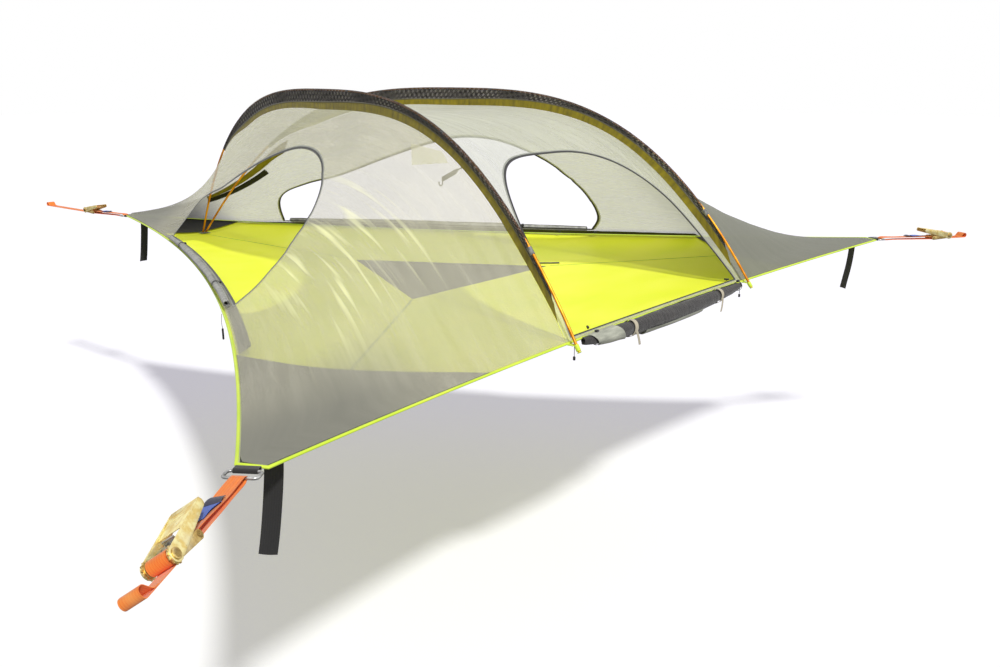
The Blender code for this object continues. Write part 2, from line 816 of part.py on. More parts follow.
def make_hatch():
    corners = hatch_corners()
    middle = sum(corners, Vector()) / 3
    loop = [corners[0], corners[1], corners[2]]
    inset = offset_loop(loop, HATCH_SEAM_GAP)
    half = HATCH_THICKNESS / 2
    hinge = add_empty("hatch_hinge", (0, inset[1].y, middle.z + half), tent)
    origin = hinge.location
    outline = blunted(inset)
    low = [p - origin - Vector((0, 0, half)) for p in outline]
    high = [p - origin + Vector((0, 0, half)) for p in outline]
    add_loft("hatch_flap", [low, high], BLACK_CLOTH, False, hinge)
    rear, front = inset[0] - origin, inset[2] - origin
    run = (rear - front).normalized()
    inward = Vector((-run.y, run.x, 0))
    if inward.dot(middle - origin - front) < 0:
        inward.negate()
    start = front + run * (SLIDER_LENGTH + SLIDER_TAB_LENGTH) + inward * SLIDER_INSET
    start.z = GAP
    rig = add_empty("slider_rig", start, hinge, (0, 0, math.atan2(run.y, run.x)))
    body = add_box(
        "hatch_slider", (-SLIDER_LENGTH / 2, -SLIDER_WIDTH / 2, 0),
        (SLIDER_LENGTH / 2, SLIDER_WIDTH / 2, SLIDER_HEIGHT),
        BLACK_PLASTIC, rig,
    )
    tab = add_box(
        "slider_tab", (-SLIDER_LENGTH / 2 - SLIDER_TAB_LENGTH / 2, -SLIDER_TAB_WIDTH / 2, 0),
        (0, SLIDER_TAB_WIDTH / 2, SLIDER_TAB_HEIGHT), None, rig,
    )
    combine(body, tab, "UNION")


def corner_line(name, distance):
    # The two ends of a line across a corner, at a distance from the tip along both edges.
    side_length = (TIPS["left"] - TIPS["rear"]).length
    inset = BINDING_WIDTH / 2 + GAP + CORNER_CLOTH
    if name == "rear":
        ends = [side_edge(-1, distance / side_length), side_edge(1, distance / side_length)]
    else:
        side = -1 if name == "left" else 1
        front_share = distance / FRONT_SPAN
        far = front_share if side < 0 else 1 - front_share
        ends = [side_edge(side, 1 - distance / side_length), front_edge(far)]
    inward = (CENTRE - TIPS[name]).normalized()
    across = (ends[1] - ends[0]).to_2d().normalized()
    across = Vector((across.x, across.y, 0))
    slant = max(0.3, abs((ends[0] - TIPS[name]).normalized().cross(across).length))
    ends[0] = ends[0] + across * (inset / slant)
    ends[1] = ends[1] - across * (inset / slant)
    return ends, inward


def make_corner_panel(name):
    reach = REAR_PANEL_SIDE if name == "rear" else CORNER_PANEL_SIDE
    rows = []
    for i in range(CORNER_ROWS + 1):
        distance = TIP_CUT + (reach - TIP_CUT) * i / CORNER_ROWS
        ends, inward = corner_line(name, distance)
        if i == 0:
            shift = inward * (BINDING_WIDTH / 2 + GAP + CORNER_CLOTH)
            ends = [p + shift for p in ends]
        row = []
        for j in range(CORNER_COLUMNS + 1):
            r = j / CORNER_COLUMNS
            place = ends[0].lerp(ends[1], r)
            from_edge = min(r, 1 - r) * (ends[1] - ends[0]).length
            lift = CORNER_LIFT * min(1.0, from_edge / CORNER_LIFT_OVER)
            height = floor_at(place.x, place.y)
            height += FLOOR_THICKNESS / 2 + GAP + CORNER_CLOTH / 2 + lift
            row.append(Vector((place.x, place.y, height)))
        rows.append(row)
    add_sheet(f"corner_panel_{name}", rows, CORNER_CLOTH, BLACK_CLOTH, tent)


def make_skirt(side, name):
    rows = []
    back = CANOPY_THICKNESS / 2 + SKIRT_GAP + SKIRT_CLOTH / 2
    for station, share in enumerate(STATIONS):
        if SKIRT_FROM_SHARE <= share <= SKIRT_TO_SHARE:
            grid = WING_ROWS_OF[side][station]
            low, up = grid[-1], grid[-2]
            length = (grid[-1] - grid[0]).length
            rise = (up - low).normalized()
            normal = wing_normal(side, share, 0.95)
            base = low + rise * (length * SKIRT_BASE_SHARE) - normal * back
            high = length * (SKIRT_BASE_SHARE + SKIRT_HEIGHT_SHARE)
            top = low + rise * high - normal * (back + SKIRT_CLEARANCE)
            rows.append([base, base.lerp(top, 0.5), top])
    add_sheet(name, rows, SKIRT_CLOTH, BLACK_CLOTH, tent)


# Canopy

def side_door_outline(side):
    shares = smooth_through([(a, b) for a, b in SIDE_DOOR_SHARES], 2)
    return [wing_point(side, along, 1 - up) for along, up in shares]


def make_wing(side, name):
    wing = add_sheet(name, WING_ROWS_OF[side], CANOPY_THICKNESS, CANOPY, tent)
    places = side_door_outline(side)
    cutter = door_cutter(f"{name}_door", places, flat_direction(places))
    combine(wing, cutter, "DIFFERENCE")
    return wing


def front_door_outline():
    places = []
    height = FRONT_DOOR_SILL_SHARE - FRONT_DOOR_TOP_SHARE
    for i in range(FRONT_DOOR_POINTS + 1):
        turn = math.pi * i / FRONT_DOOR_POINTS
        across = math.copysign(abs(math.cos(turn)) ** (2 / FRONT_DOOR_WIDTH_POWER), -math.cos(turn))
        rise = math.sin(turn) ** (2 / FRONT_DOOR_RISE_POWER)
        share = FRONT_DOOR_SILL_SHARE - height * rise
        places.append(roof_point(share, 0.5 + FRONT_DOOR_HALF_SHARE * across))
    return places


def make_roof():
    roof = add_sheet("roof_panel", ROOF_GRID, CANOPY_THICKNESS, CANOPY, tent)
    places = front_door_outline()
    cutter = door_cutter("roof_panel_door", places, flat_direction(places))
    combine(roof, cutter, "DIFFERENCE")
    for side, label in ((-1, "left"), (1, "right")):
        combine(roof, pole_passage(side, f"roof_panel_{label}_passage"), "DIFFERENCE")


def pole_passage(side, name):
    # The pole leaves the tent through this hole and enters its sleeve.
    low = pole_point(side, FIN_START_SHARE * (POLE_REAR_STEPS - 1) / POLE_REAR_STEPS)
    high = pole_point(side, FIN_START_SHARE)
    run = (high - low).normalized()
    turn = run.to_track_quat("Z", "X").to_matrix()
    sections = []
    for place in (low - run * OVERRUN, high + run * OVERRUN):
        ring = circle_outline(POLE_RADIUS + PASSAGE_CLEARANCE, SHAFT_SIDES // 2)
        sections.append([place + turn @ Vector((x, y, 0)) for x, y in ring])
    return add_loft(name, sections, None, False, tent)


# Poles and fins

def arch_shares():
    return [FIN_START_SHARE + (1 - FIN_START_SHARE) * i / ARCH_STEPS for i in range(ARCH_STEPS + 1)]


ARCH_SHARES = arch_shares()


def make_pole(side, name):
    rear = [FIN_START_SHARE * i / POLE_REAR_STEPS for i in range(POLE_REAR_STEPS)]
    places = [pole_point(side, share) for share in rear + ARCH_SHARES]
    add_tube(name, places, POLE_RADIUS, POLE, tent)


def make_fin(side, name):
    mesh_rows = []
    olive_rows = []
    for share in ARCH_SHARES:
        crest = crest_point(side, wing_share(share))
        top = pole_point(side, share)
        away = (crest - top).normalized()
        reach = (crest - top).length
        near = (POLE_RADIUS + 2 * GAP) / away.dot(-fin_direction(side, share))
        split = near + (reach - near) * MESH_BAND_SHARE
        if share <= SLEEVE_END_SHARE:
            depths = (near, (near + split) / 2, split - GAP / 2)
            mesh_rows.append([top + away * depth for depth in depths])
        olive_rows.append([top + away * (split + GAP / 2), top + away * (reach - GAP)])
    olive_rows.pop()
    add_sheet(f"sleeve_mesh_{name}", mesh_rows, FIN_CLOTH, BLACK_MESH, tent)
    add_sheet(f"sleeve_band_{name}", olive_rows, FIN_CLOTH, OLIVE, tent)


# Seats that hold the poles' feet, and clips at the sleeves' ends

def make_front_seat(side, name):
    # A cup on a tongue that is sewn to the binding.
    foot = pole_point(side, 1.0)
    up = (pole_point(side, ARCH_SHARES[-2]) - foot).normalized()
    bore = POLE_RADIUS + SEAT_BORE_GAP
    outside = bore + SEAT_WALL
    rig = add_empty(f"{name}_rig", foot, tent, up.to_track_quat("Z", "X").to_euler())
    rings = []
    profile = (
        (outside, -SEAT_CUP_FLOOR - GAP), (outside, SEAT_HEIGHT), (bore, SEAT_HEIGHT), (bore, -GAP),
    )
    for i in range(SHAFT_SIDES // 2):
        turn = 2 * math.pi * i / (SHAFT_SIDES // 2)
        rings.append([Vector((r * math.cos(turn), r * math.sin(turn), z)) for r, z in profile])
    points = [p for ring in rings for p in ring]
    faces = []
    sides = len(rings)
    for i in range(sides):
        a, b = i * 4, ((i + 1) % sides) * 4
        for j in range(3):
            faces.append((a + j, b + j, b + j + 1, a + j + 1))
    faces.append([i * 4 for i in range(sides)])
    faces.append([i * 4 + 3 for i in range(sides)])
    cup = add_mesh(name, points, faces, NEON, rig)
    edge = front_edge(foot_share(side))
    face_y = edge.y - BINDING_WIDTH / 2 - GAP - edge_slack(side)
    low = edge.z - BINDING_BELOW
    along = (low + SEAT_TONGUE_THICKNESS / 2 - foot.z) / up.z
    start_y = foot.y + up.y * along + (bore + SEAT_WALL / 2) / up.z
    tongue = add_box(
        f"{name}_tongue",
        (foot.x - SEAT_TONGUE_WIDTH / 2, start_y, low),
        (foot.x + SEAT_TONGUE_WIDTH / 2, face_y, low + SEAT_TONGUE_THICKNESS), None, tent,
    )
    combine(cup, tongue, "UNION")


def edge_slack(side):
    # How far the bowed front edge comes forward within the tongue's width.
    share = foot_share(side)
    near = SEAT_TONGUE_WIDTH / 2 / FRONT_SPAN
    return max(0.0, front_edge(share).y - min(front_edge(share - near).y, front_edge(share + near).y))


def make_rear_seat():
    # A plate on the floor under both poles' rear ends.
    half_x, half_y = REAR_SEAT_WIDTH / 2, REAR_SEAT_LENGTH / 2
    low = (-half_x, REAR_FOOT_Y - half_y, REAR_SEAT_BASE)
    high = (half_x, REAR_FOOT_Y + half_y, REAR_SEAT_BASE + REAR_SEAT_THICKNESS)
    add_box("pole_seat_rear", low, high, GREY_PLASTIC, tent)


def make_clip(side, name):
    # A short sleeve on the pole where its fabric sleeve ends.
    upper, lower = pole_point(side, ARCH_SHARES[-3]), pole_point(side, ARCH_SHARES[-2])
    place = upper.lerp(lower, CLIP_PLACE_SHARE)
    up = (upper - lower).normalized()
    rig = add_empty(f"{name}_rig", place, tent, up.to_track_quat("Z", "X").to_euler())
    bore = POLE_RADIUS + 2 * CLIP_BORE_GAP
    outside = bore + CLIP_WALL
    half = CLIP_LENGTH / 2
    profile = ((outside, -half), (outside, half), (bore, half), (bore, -half))
    sections = []
    for i in range(SHAFT_SIDES // 2):
        turn = 2 * math.pi * i / (SHAFT_SIDES // 2)
        sections.append([Vector((r * math.cos(turn), r * math.sin(turn), z)) for r, z in profile])
    add_loft(name, sections, GREY_PLASTIC, True, rig)


# Rolled doors

def make_side_roll(side, name):
    places = []
    radii = []
    for i in range(SIDE_ROLL_POINTS + 1):
        r = i / SIDE_ROLL_POINTS
        share = SIDE_ROLL_FROM_SHARE + (SIDE_ROLL_TO_SHARE - SIDE_ROLL_FROM_SHARE) * r
        swell = 0.72 + 0.28 * math.sin(math.pi * r)
        reach = SIDE_ROLL_RADIUS * swell + CANOPY_THICKNESS / 2 + SIDE_ROLL_CLEARANCE
        base = wing_point(side, share, 1 - SIDE_ROLL_SILL_SHARE)
        places.append(base + wing_normal(side, share, 1 - SIDE_ROLL_SILL_SHARE) * reach)
        radii.append(swell)
    add_tube(name, places, SIDE_ROLL_RADIUS, GREY_CLOTH, tent, radii)


def make_front_roll():
    places = []
    radii = []
    for i in range(FRONT_ROLL_POINTS + 1):
        r = i / FRONT_ROLL_POINTS
        x = FRONT_ROLL_HALF * (2 * r - 1)
        swell = math.sin(math.pi * r) ** 0.6 if 0 < r < 1 else 0.0
        radius = FRONT_ROLL_END_RADIUS + (FRONT_ROLL_RADIUS - FRONT_ROLL_END_RADIUS) * swell
        edge = front_edge(0.5 + x / FRONT_SPAN)
        away = edge.y - BINDING_WIDTH / 2 - FRONT_ROLL_CLEARANCE - radius
        places.append(Vector((x, away, edge.z - FRONT_ROLL_DROP * swell)))
        radii.append(radius / FRONT_ROLL_RADIUS)
    add_tube("door_roll_front", places, FRONT_ROLL_RADIUS, BLACK_CLOTH, tent, radii)


# Corner hardware, with x outwards from the tip and y to the left of it

def corner_frame(name):
    out = (TIPS[name] - CENTRE)
    return add_empty(f"corner_{name}", TIPS[name], tent, (0, 0, math.atan2(out.y, out.x)))


def cut_edge_x(name):
    # How far inside the tip the cut end lies, at the nearer side of the corner's loop.
    if name == "rear":
        ends = (side_edge(-1, TIP_SHARE), side_edge(1, TIP_SHARE))
    else:
        side = -1 if name == "left" else 1
        front = FRONT_TIP_SHARE if side < 0 else 1 - FRONT_TIP_SHARE
        ends = (side_edge(side, 1 - TIP_SHARE), front_edge(front))
    out = (TIPS[name] - CENTRE).normalized()
    across = Vector((-out.y, out.x, 0))
    first, last = [p - TIPS[name] for p in ends]
    slope = (last - first).dot(out) / (last - first).dot(across)
    middle = first.dot(out) - slope * first.dot(across)
    return middle + abs(slope) * LOOP_WIDTH / 2


def add_belt(name, stations, thickness, cloth, parent, closed=True):
    # A flat tape: each station has a place and a normal in x and z, a width and a roll about x.
    sections = []
    for (x, z), (nx, nz), width, roll in stations:
        ring = []
        for depth, half in ((-0.5, -0.5), (-0.5, 0.5), (0.5, 0.5), (0.5, -0.5)):
            y = half * width
            px = x + nx * depth * thickness
            pz = z + nz * depth * thickness
            turned = (y * math.cos(roll) - pz * math.sin(roll), y * math.sin(roll) + pz * math.cos(roll))
            ring.append(Vector((px, turned[0], turned[1])))
        sections.append(ring)
    return add_loft(name, sections, cloth, closed, parent)


def racetrack(start, end, start_radius, end_radius, width_at, roll_at, runs, turns=8):
    # A closed belt round two bars, with its two layers between them.
    stations = []
    for i in range(turns + 1):
        angle = math.radians(90 + 180 * i / turns)
        normal = (math.cos(angle), math.sin(angle))
        place = (start[0] + start_radius * normal[0], start[1] + start_radius * normal[1])
        stations.append((place, normal))
    for layer, sign in ((0, -1), (1, 1)):
        for i in range(1, runs):
            r = i / runs if layer == 0 else 1 - i / runs
            radius = start_radius + (end_radius - start_radius) * r
            x = start[0] + (end[0] - start[0]) * r
            z = start[1] + (end[1] - start[1]) * r + sign * radius
            stations.append(((x, z), (0.0, float(sign))))
        if layer == 0:
            for i in range(turns + 1):
                angle = math.radians(-90 + 180 * i / turns)
                normal = (math.cos(angle), math.sin(angle))
                place = (end[0] + end_radius * normal[0], end[1] + end_radius * normal[1])
                stations.append((place, normal))
    return [(place, normal, width_at(place[0]), roll_at(place[0])) for place, normal in stations]


def make_corner_loop(name, frame):
    bar = RING_WIRE + GAP + WEBBING / 2
    start_x = cut_edge_x(name) + BINDING_WIDTH / 2 + GAP + WEBBING / 2 + bar
    track = racetrack(
        (start_x, 0.0), (RING_INNER_X, 0.0), bar, bar, lambda x: LOOP_WIDTH, lambda x: 0.0, 3,
    )
    add_belt(f"corner_loop_{name}", track, WEBBING, BLACK_WEBBING, frame)


def make_ring(name, frame):
    places = []
    middle = (RING_INNER_X + RING_OUTER_X) / 2
    half = (RING_OUTER_X - RING_INNER_X) / 2
    for sign_x, sign_y, start in ((1, 1, 0), (-1, 1, 90), (-1, -1, 180), (1, -1, 270)):
        centre_x = middle + sign_x * (half - RING_CORNER)
        centre_y = sign_y * (RING_HALF_WIDTH - RING_CORNER)
        for i in range(RING_CORNER_POINTS):
            turn = math.radians(start + 90 * i / (RING_CORNER_POINTS - 1))
            x = centre_x + RING_CORNER * math.cos(turn)
            places.append((x, centre_y + RING_CORNER * math.sin(turn), 0.0))
    add_tube(f"corner_ring_{name}", places, RING_WIRE, STEEL, frame, cyclic=True)


def make_tail(name, frame):
    # Black webbing sewn under the corner, which hangs and sways to one side.
    x = cut_edge_x(name) - TAIL_SETBACK[name]
    turn = frame.rotation_euler.z
    sway = Matrix.Rotation(-turn, 3, "Z") @ (Vector((-1, 1, 0)).normalized() * TAIL_SWAY)
    placed = Matrix.Rotation(turn, 3, "Z")
    outline = [
        Vector((a * TAIL_THICKNESS / 2, b * TAIL_WIDTH / 2, 0))
        for a, b in ((-1, -1), (1, -1), (1, 1), (-1, 1))
    ]

    def floor_over(corner):
        place = TIPS[name] + placed @ (Vector((x, TAIL_OFFSET, 0)) + corner)
        return floor_at(place.x, place.y) - FLOOR_THICKNESS / 2 - 2 * GAP

    tops = [floor_over(corner) for corner in outline]
    dip = 0.0
    for i in range(TAIL_STEPS + 1):
        r = i / TAIL_STEPS
        for a, b in ((0, 3), (1, 2)):
            flat = tops[a] + (tops[b] - tops[a]) * r
            dip = max(dip, flat - floor_over(outline[a].lerp(outline[b], r)))
    sections = []
    for i in range(TAIL_STEPS + 1):
        r = i / TAIL_STEPS
        middle = Vector((x, TAIL_OFFSET, 0)) + sway * (r ** TAIL_CURVE_SHARE)
        ring = []
        for corner, top in zip(outline, tops):
            ring.append(middle + corner + Vector((0, 0, (top - dip) * (1 - r) - TAIL_LENGTH * r)))
        sections.append(ring)
    add_loft(f"tail_strap_{name}", sections, BLACK_WEBBING, False, frame)


# Ratchets

def make_ratchet(name, frame):
    roll = math.radians(RATCHET_ROLL[name])
    rig = add_empty(f"ratchet_{name}_rig", (RATCHET_REACH[name], 0, 0), frame, (roll, 0, 0))
    make_ratchet_frame(name, rig)
    make_drum(name, rig)
    make_handle(name, rig)
    make_tree_strap(name, rig)


def frame_outline():
    head = arc_points(0, 0, FRAME_HEAD_RADIUS, -95, 115, 12)
    eye = arc_points(-FRAME_LENGTH, -FRAME_DROP, FRAME_EYE_RADIUS, 90, 265, 8)
    return head + [(FRAME_NECK_X, FRAME_NECK_Z)] + eye


def add_bore(name, rig):
    # A cutter round the shaft, long enough for the handle's plates too.
    outline = circle_outline(SHAFT_RADIUS + GAP, SHAFT_SIDES)
    return add_prism(name, outline, -OVERRUN * 3, OVERRUN * 3, None, rig)


def make_ratchet_frame(name, rig):
    node = f"ratchet_frame_{name}"
    outer = FRAME_INNER + FRAME_PLATE
    plate = add_prism(node, frame_outline(), -outer, -FRAME_INNER, ZINC, rig)
    other = add_prism(f"{node}_plate", frame_outline(), FRAME_INNER, outer, None, rig)
    bolt_line = circle_outline(BOLT_RADIUS, 12, -FRAME_LENGTH, -FRAME_DROP)
    reach = FRAME_INNER + FRAME_PLATE / 2
    bolt = add_prism(f"{node}_bolt", bolt_line, -reach, reach, None, rig)
    bore = add_bore(f"{node}_bore", rig)
    combine(plate, other, "UNION")
    combine(plate, bolt, "UNION")
    combine(plate, bore, "DIFFERENCE")


def gear_outline():
    points = []
    for i in range(GEAR_TEETH):
        tip = 2 * math.pi * i / GEAR_TEETH
        root = 2 * math.pi * (i + GEAR_LEAN_SHARE) / GEAR_TEETH
        points.append((GEAR_RADIUS * math.cos(tip), GEAR_RADIUS * math.sin(tip)))
        points.append((GEAR_ROOT_RADIUS * math.cos(root), GEAR_ROOT_RADIUS * math.sin(root)))
    return points


def make_drum(name, rig):
    node = f"ratchet_drum_{name}"
    gear_low = FRAME_INNER + FRAME_PLATE + GAP
    gear_high = gear_low + GEAR_THICKNESS
    cap_low = gear_high + GAP + HANDLE_PLATE + GAP
    cap_high = cap_low + CAP_THICKNESS
    shaft = add_prism(node, circle_outline(SHAFT_RADIUS, SHAFT_SIDES), -cap_high, cap_high, ZINC, rig)
    for label, sign in (("a", -1), ("b", 1)):
        low, high = sorted((sign * gear_low, sign * gear_high))
        combine(shaft, add_prism(f"{node}_gear_{label}", gear_outline(), low, high, None, rig), "UNION")
        low, high = sorted((sign * cap_low, sign * (cap_high + GAP)))
        cap = add_prism(f"{node}_cap_{label}", circle_outline(CAP_RADIUS, SHAFT_SIDES), low, high, None, rig)
        combine(shaft, cap, "UNION")
    slot = add_box(
        f"{node}_slot", (-OVERRUN, -SLOT_HALF_LENGTH, -SLOT_HEIGHT / 2),
        (OVERRUN, SLOT_HALF_LENGTH, SLOT_HEIGHT / 2), None, rig,
    )
    combine(shaft, slot, "DIFFERENCE")
    round_core = circle_outline(CORE_RADIUS, SHAFT_SIDES)
    core = add_prism(f"strap_roll_{name}", round_core, -STRAP_WIDTH / 2, STRAP_WIDTH / 2, ORANGE_WEBBING, rig)
    bore = add_bore(f"strap_roll_{name}_bore", rig)
    combine(core, bore, "DIFFERENCE")


def handle_outline():
    head = arc_points(0, 0, HANDLE_HEAD_RADIUS, -85, 85, 10)
    end = arc_points(-HANDLE_LENGTH, 0, HANDLE_END_RADIUS, 95, 265, 8)
    return head + end


def make_handle(name, rig):
    node = f"ratchet_handle_{name}"
    pivot = add_empty(f"{node}_pivot", (0, 0, 0), rig, (0, math.radians(HANDLE_REST_ANGLE), 0))
    low = FRAME_INNER + FRAME_PLATE + GAP + GEAR_THICKNESS + GAP
    high = low + HANDLE_PLATE
    plate = add_prism(node, handle_outline(), -high, -low, ZINC, pivot)
    other = add_prism(f"{node}_plate", handle_outline(), low, high, None, pivot)
    palm = add_box(
        f"{node}_palm", (-PALM_END, -high, PALM_HEIGHT),
        (-PALM_START, high, PALM_HEIGHT + PALM_THICKNESS), None, pivot,
    )
    bore = add_bore(f"{node}_bore", pivot)
    combine(plate, palm, "UNION")
    combine(plate, other, "UNION")
    combine(plate, bore, "DIFFERENCE")
    tip = -(GEAR_RADIUS + GAP)
    back = tip - PAWL_LENGTH
    pawl = add_box(
        f"ratchet_pawl_{name}", (back, -low + GAP, -PAWL_THICKNESS / 2),
        (tip, low - GAP, PAWL_THICKNESS / 2), STEEL, pivot,
    )
    tab = add_box(
        f"ratchet_pawl_{name}_tab", (back, -PAWL_TAB_HALF_WIDTH, 0),
        (back + PAWL_TAB_LENGTH, PAWL_TAB_HALF_WIDTH, PAWL_TAB_HEIGHT), None, pivot,
    )
    combine(pawl, tab, "UNION")


def make_inner_strap(name, frame):
    # A sewn loop from the ring to the ratchet's bolt, gathered at the ring and turned with the ratchet.
    roll = math.radians(RATCHET_ROLL[name])
    bolt_x = RATCHET_REACH[name] - FRAME_LENGTH
    ring_bar = RING_WIRE + GAP + WEBBING / 2
    bolt_bar = BOLT_RADIUS + GAP + WEBBING / 2
    near = RING_OUTER_X + 2 * ring_bar
    far = bolt_x - 2 * bolt_bar

    def width_at(x):
        return STRAP_GATHER_WIDTH + (STRAP_WIDTH - STRAP_GATHER_WIDTH) * smooth_step(near, far, x)

    def roll_at(x):
        return roll * smooth_step(near, far, x)

    track = racetrack(
        (RING_OUTER_X, 0.0), (bolt_x, -FRAME_DROP), ring_bar, bolt_bar, width_at, roll_at, 8,
    )
    add_belt(f"inner_strap_{name}", track, WEBBING, ORANGE_WEBBING, frame)


def make_tree_strap(name, rig):
    # One lap round the drum, the run to the tree, and a sewn eye with a flat end.
    path = []
    for i in range(LAP_STEPS):
        r = i / LAP_STEPS
        turn = math.radians(-90 - 360 * (1 - r))
        radius = LAP_INNER + (LAP_OUTER - LAP_INNER) * r
        path.append((radius * math.cos(turn), radius * math.sin(turn)))
    end = TREE_REACH[name] - RATCHET_REACH[name]
    low = -LAP_OUTER
    path.append((0.0, low))
    path.append((end / 3, low))
    path.append((end - EYE_LENGTH - EYE_OVERLAP / 2, low))
    path.append((end - EYE_LENGTH, low))
    path.append((end, low))
    path.append((end, low + EYE_HEIGHT))
    path.append((end - EYE_LENGTH / 2, low + EYE_HEIGHT))
    rest = low + WEBBING + LAP_GAP
    path.append((end - EYE_LENGTH, rest))
    path.append((end - EYE_LENGTH - EYE_OVERLAP / 2, rest))
    stations = tape_stations(path, STRAP_WIDTH)
    add_belt(f"tree_strap_{name}", stations, WEBBING, ORANGE_WEBBING, rig, False)
    print(f"tree_strap_{name}: least gap between laps {lap_gap(path[:LAP_STEPS + 2]) * 1000:.2f} mm")


def tape_stations(path, width):
    # Mitred normals along a path in x and z.
    stations = []
    for i, (x, z) in enumerate(path):
        before = path[max(0, i - 1)]
        after = path[min(len(path) - 1, i + 1)]
        a = Vector((x - before[0], z - before[1]))
        b = Vector((after[0] - x, after[1] - z))
        if a.length == 0:
            a = b.copy()
        if b.length == 0:
            b = a.copy()
        a.normalize()
        b.normalize()
        normal = (Vector((-a.y, a.x)) + Vector((-b.y, b.x))).normalized()
        stretch = 1 / max(0.5, normal.dot(Vector((-a.y, a.x))))
        stations.append(((x, z), (normal.x * stretch, normal.y * stretch), width, 0.0))
    return stations


def lap_gap(path):
    # The least clear distance between the lap's two ends.
    last = Vector(path[-2])
    first = Vector(path[0])
    return (last - first).length - WEBBING


# Hook under the roof and zip pulls

def make_hook():
    start = crest_point(-1, wing_share(HOOK_STRAP_SHARE)) + Vector((HOOK_STRAP_INSET, 0, -HOOK_STRAP_BELOW))
    run = Vector((0, HOOK_STRAP_RUN, -HOOK_STRAP_FALL))
    half = Vector((HOOK_STRAP_WIDTH / 2, 0, 0))
    rows = [[start + run * r - half, start + run * r + half] for r in (0, 0.5, 1)]
    add_sheet("gear_hook_strap", rows, WEBBING, BLACK_WEBBING, tent)
    slope = HOOK_STRAP_FALL / HOOK_STRAP_RUN
    below = WEBBING / 2 * math.sqrt(1 + slope * slope) + HOOK_WIRE * slope + GAP
    top = start + run + Vector((0, -HOOK_WIRE, slope * HOOK_WIRE - below))
    bend = top + Vector((0, HOOK_RADIUS, -HOOK_SHANK))
    places = [top]
    for i in range(HOOK_POINTS + 1):
        turn = math.radians(180 + HOOK_TURN * i / HOOK_POINTS)
        places.append(bend + Vector((0, HOOK_RADIUS * math.cos(turn), HOOK_RADIUS * math.sin(turn))))
    add_tube("gear_hook", places, HOOK_WIRE, BLACK_PLASTIC, tent)


def make_pull(side, name):
    # A cord end with a bead, hanging at the foot of the front door.
    share = 0.5 + side * (FRONT_ROLL_HALF + PULL_FROM_ROLL) / FRONT_SPAN
    edge = front_edge(share)
    y = edge.y - BINDING_WIDTH / 2 - PULL_CLEARANCE - PULL_RADIUS
    place = Vector((edge.x, y, edge.z + BINDING_ABOVE))
    bead = PULL_LENGTH - PULL_BEAD_LENGTH
    profile = (
        (PULL_RADIUS, 0), (PULL_RADIUS, bead), (PULL_BEAD_RADIUS, bead + PULL_BEAD_LENGTH / 4),
        (PULL_BEAD_RADIUS, PULL_LENGTH - PULL_BEAD_LENGTH / 4), (PULL_RADIUS, PULL_LENGTH),
    )
    sections = []
    for radius, down in profile:
        ring = circle_outline(radius, SHAFT_SIDES // 2)
        sections.append([place + Vector((x, y, -down)) for x, y in ring])
    add_loft(name, sections, BLACK_PLASTIC, False, tent)


for maker in (make_floor, make_binding, make_hatch, make_roof, make_rear_seat, make_front_roll, make_hook):
    maker()
for corner in TIPS:
    place = corner_frame(corner)
    make_corner_panel(corner)
    make_corner_loop(corner, place)
    make_ring(corner, place)
    make_tail(corner, place)
    make_inner_strap(corner, place)
    make_ratchet(corner, place)
for direction, label in ((-1, "left"), (1, "right")):
    make_wing(direction, f"wing_{label}")
    make_skirt(direction, f"skirt_{label}")
    make_pole(direction, f"pole_{label}")
    make_fin(direction, label)
    make_front_seat(direction, f"pole_seat_{label}")
    make_clip(direction, f"sleeve_clip_{label}")
    make_side_roll(direction, f"door_roll_{label}")
    make_pull(direction, f"zip_pull_{label}")
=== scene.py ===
import json
import math

import bpy
from mathutils import Matrix, Vector, noise
from mathutils.geometry import delaunay_2d_cdt

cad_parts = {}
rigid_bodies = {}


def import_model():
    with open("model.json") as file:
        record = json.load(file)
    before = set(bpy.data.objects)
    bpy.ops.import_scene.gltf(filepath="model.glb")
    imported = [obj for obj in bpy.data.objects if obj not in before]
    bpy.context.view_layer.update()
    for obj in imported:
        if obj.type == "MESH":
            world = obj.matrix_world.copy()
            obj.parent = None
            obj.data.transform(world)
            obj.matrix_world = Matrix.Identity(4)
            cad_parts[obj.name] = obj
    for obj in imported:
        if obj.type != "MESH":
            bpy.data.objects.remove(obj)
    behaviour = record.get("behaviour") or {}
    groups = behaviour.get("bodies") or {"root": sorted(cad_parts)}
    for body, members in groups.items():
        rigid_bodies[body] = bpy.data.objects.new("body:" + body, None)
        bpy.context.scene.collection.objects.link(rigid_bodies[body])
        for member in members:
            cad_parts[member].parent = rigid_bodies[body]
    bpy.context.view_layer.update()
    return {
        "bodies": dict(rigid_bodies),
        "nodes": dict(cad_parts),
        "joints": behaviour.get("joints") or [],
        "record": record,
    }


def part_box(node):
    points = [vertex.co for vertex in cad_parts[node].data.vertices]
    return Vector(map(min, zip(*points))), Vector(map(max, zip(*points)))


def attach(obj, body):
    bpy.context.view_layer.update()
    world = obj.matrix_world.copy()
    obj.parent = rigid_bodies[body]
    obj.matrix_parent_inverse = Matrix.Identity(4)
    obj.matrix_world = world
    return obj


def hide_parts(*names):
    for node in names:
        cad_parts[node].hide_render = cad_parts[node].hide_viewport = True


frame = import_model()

# a tree tent: three straps, a taut floor, two arched poles and a see-through canopy
# the tent's own middle line is x = 0 and its rear tip points to +y, and the tree strap ends at the origin
hang = Vector((0, -3.9792, 0.0049))
upwards = Vector((0, 0, 1))


def deselect():
    if bpy.context.object and bpy.context.object.mode != "OBJECT":
        bpy.ops.object.mode_set(mode="OBJECT")
    bpy.ops.object.select_all(action="DESELECT")


def pick(*pieces):
    deselect()
    for piece in pieces:
        piece.select_set(True)
    bpy.context.view_layer.objects.active = pieces[0]


# nodes

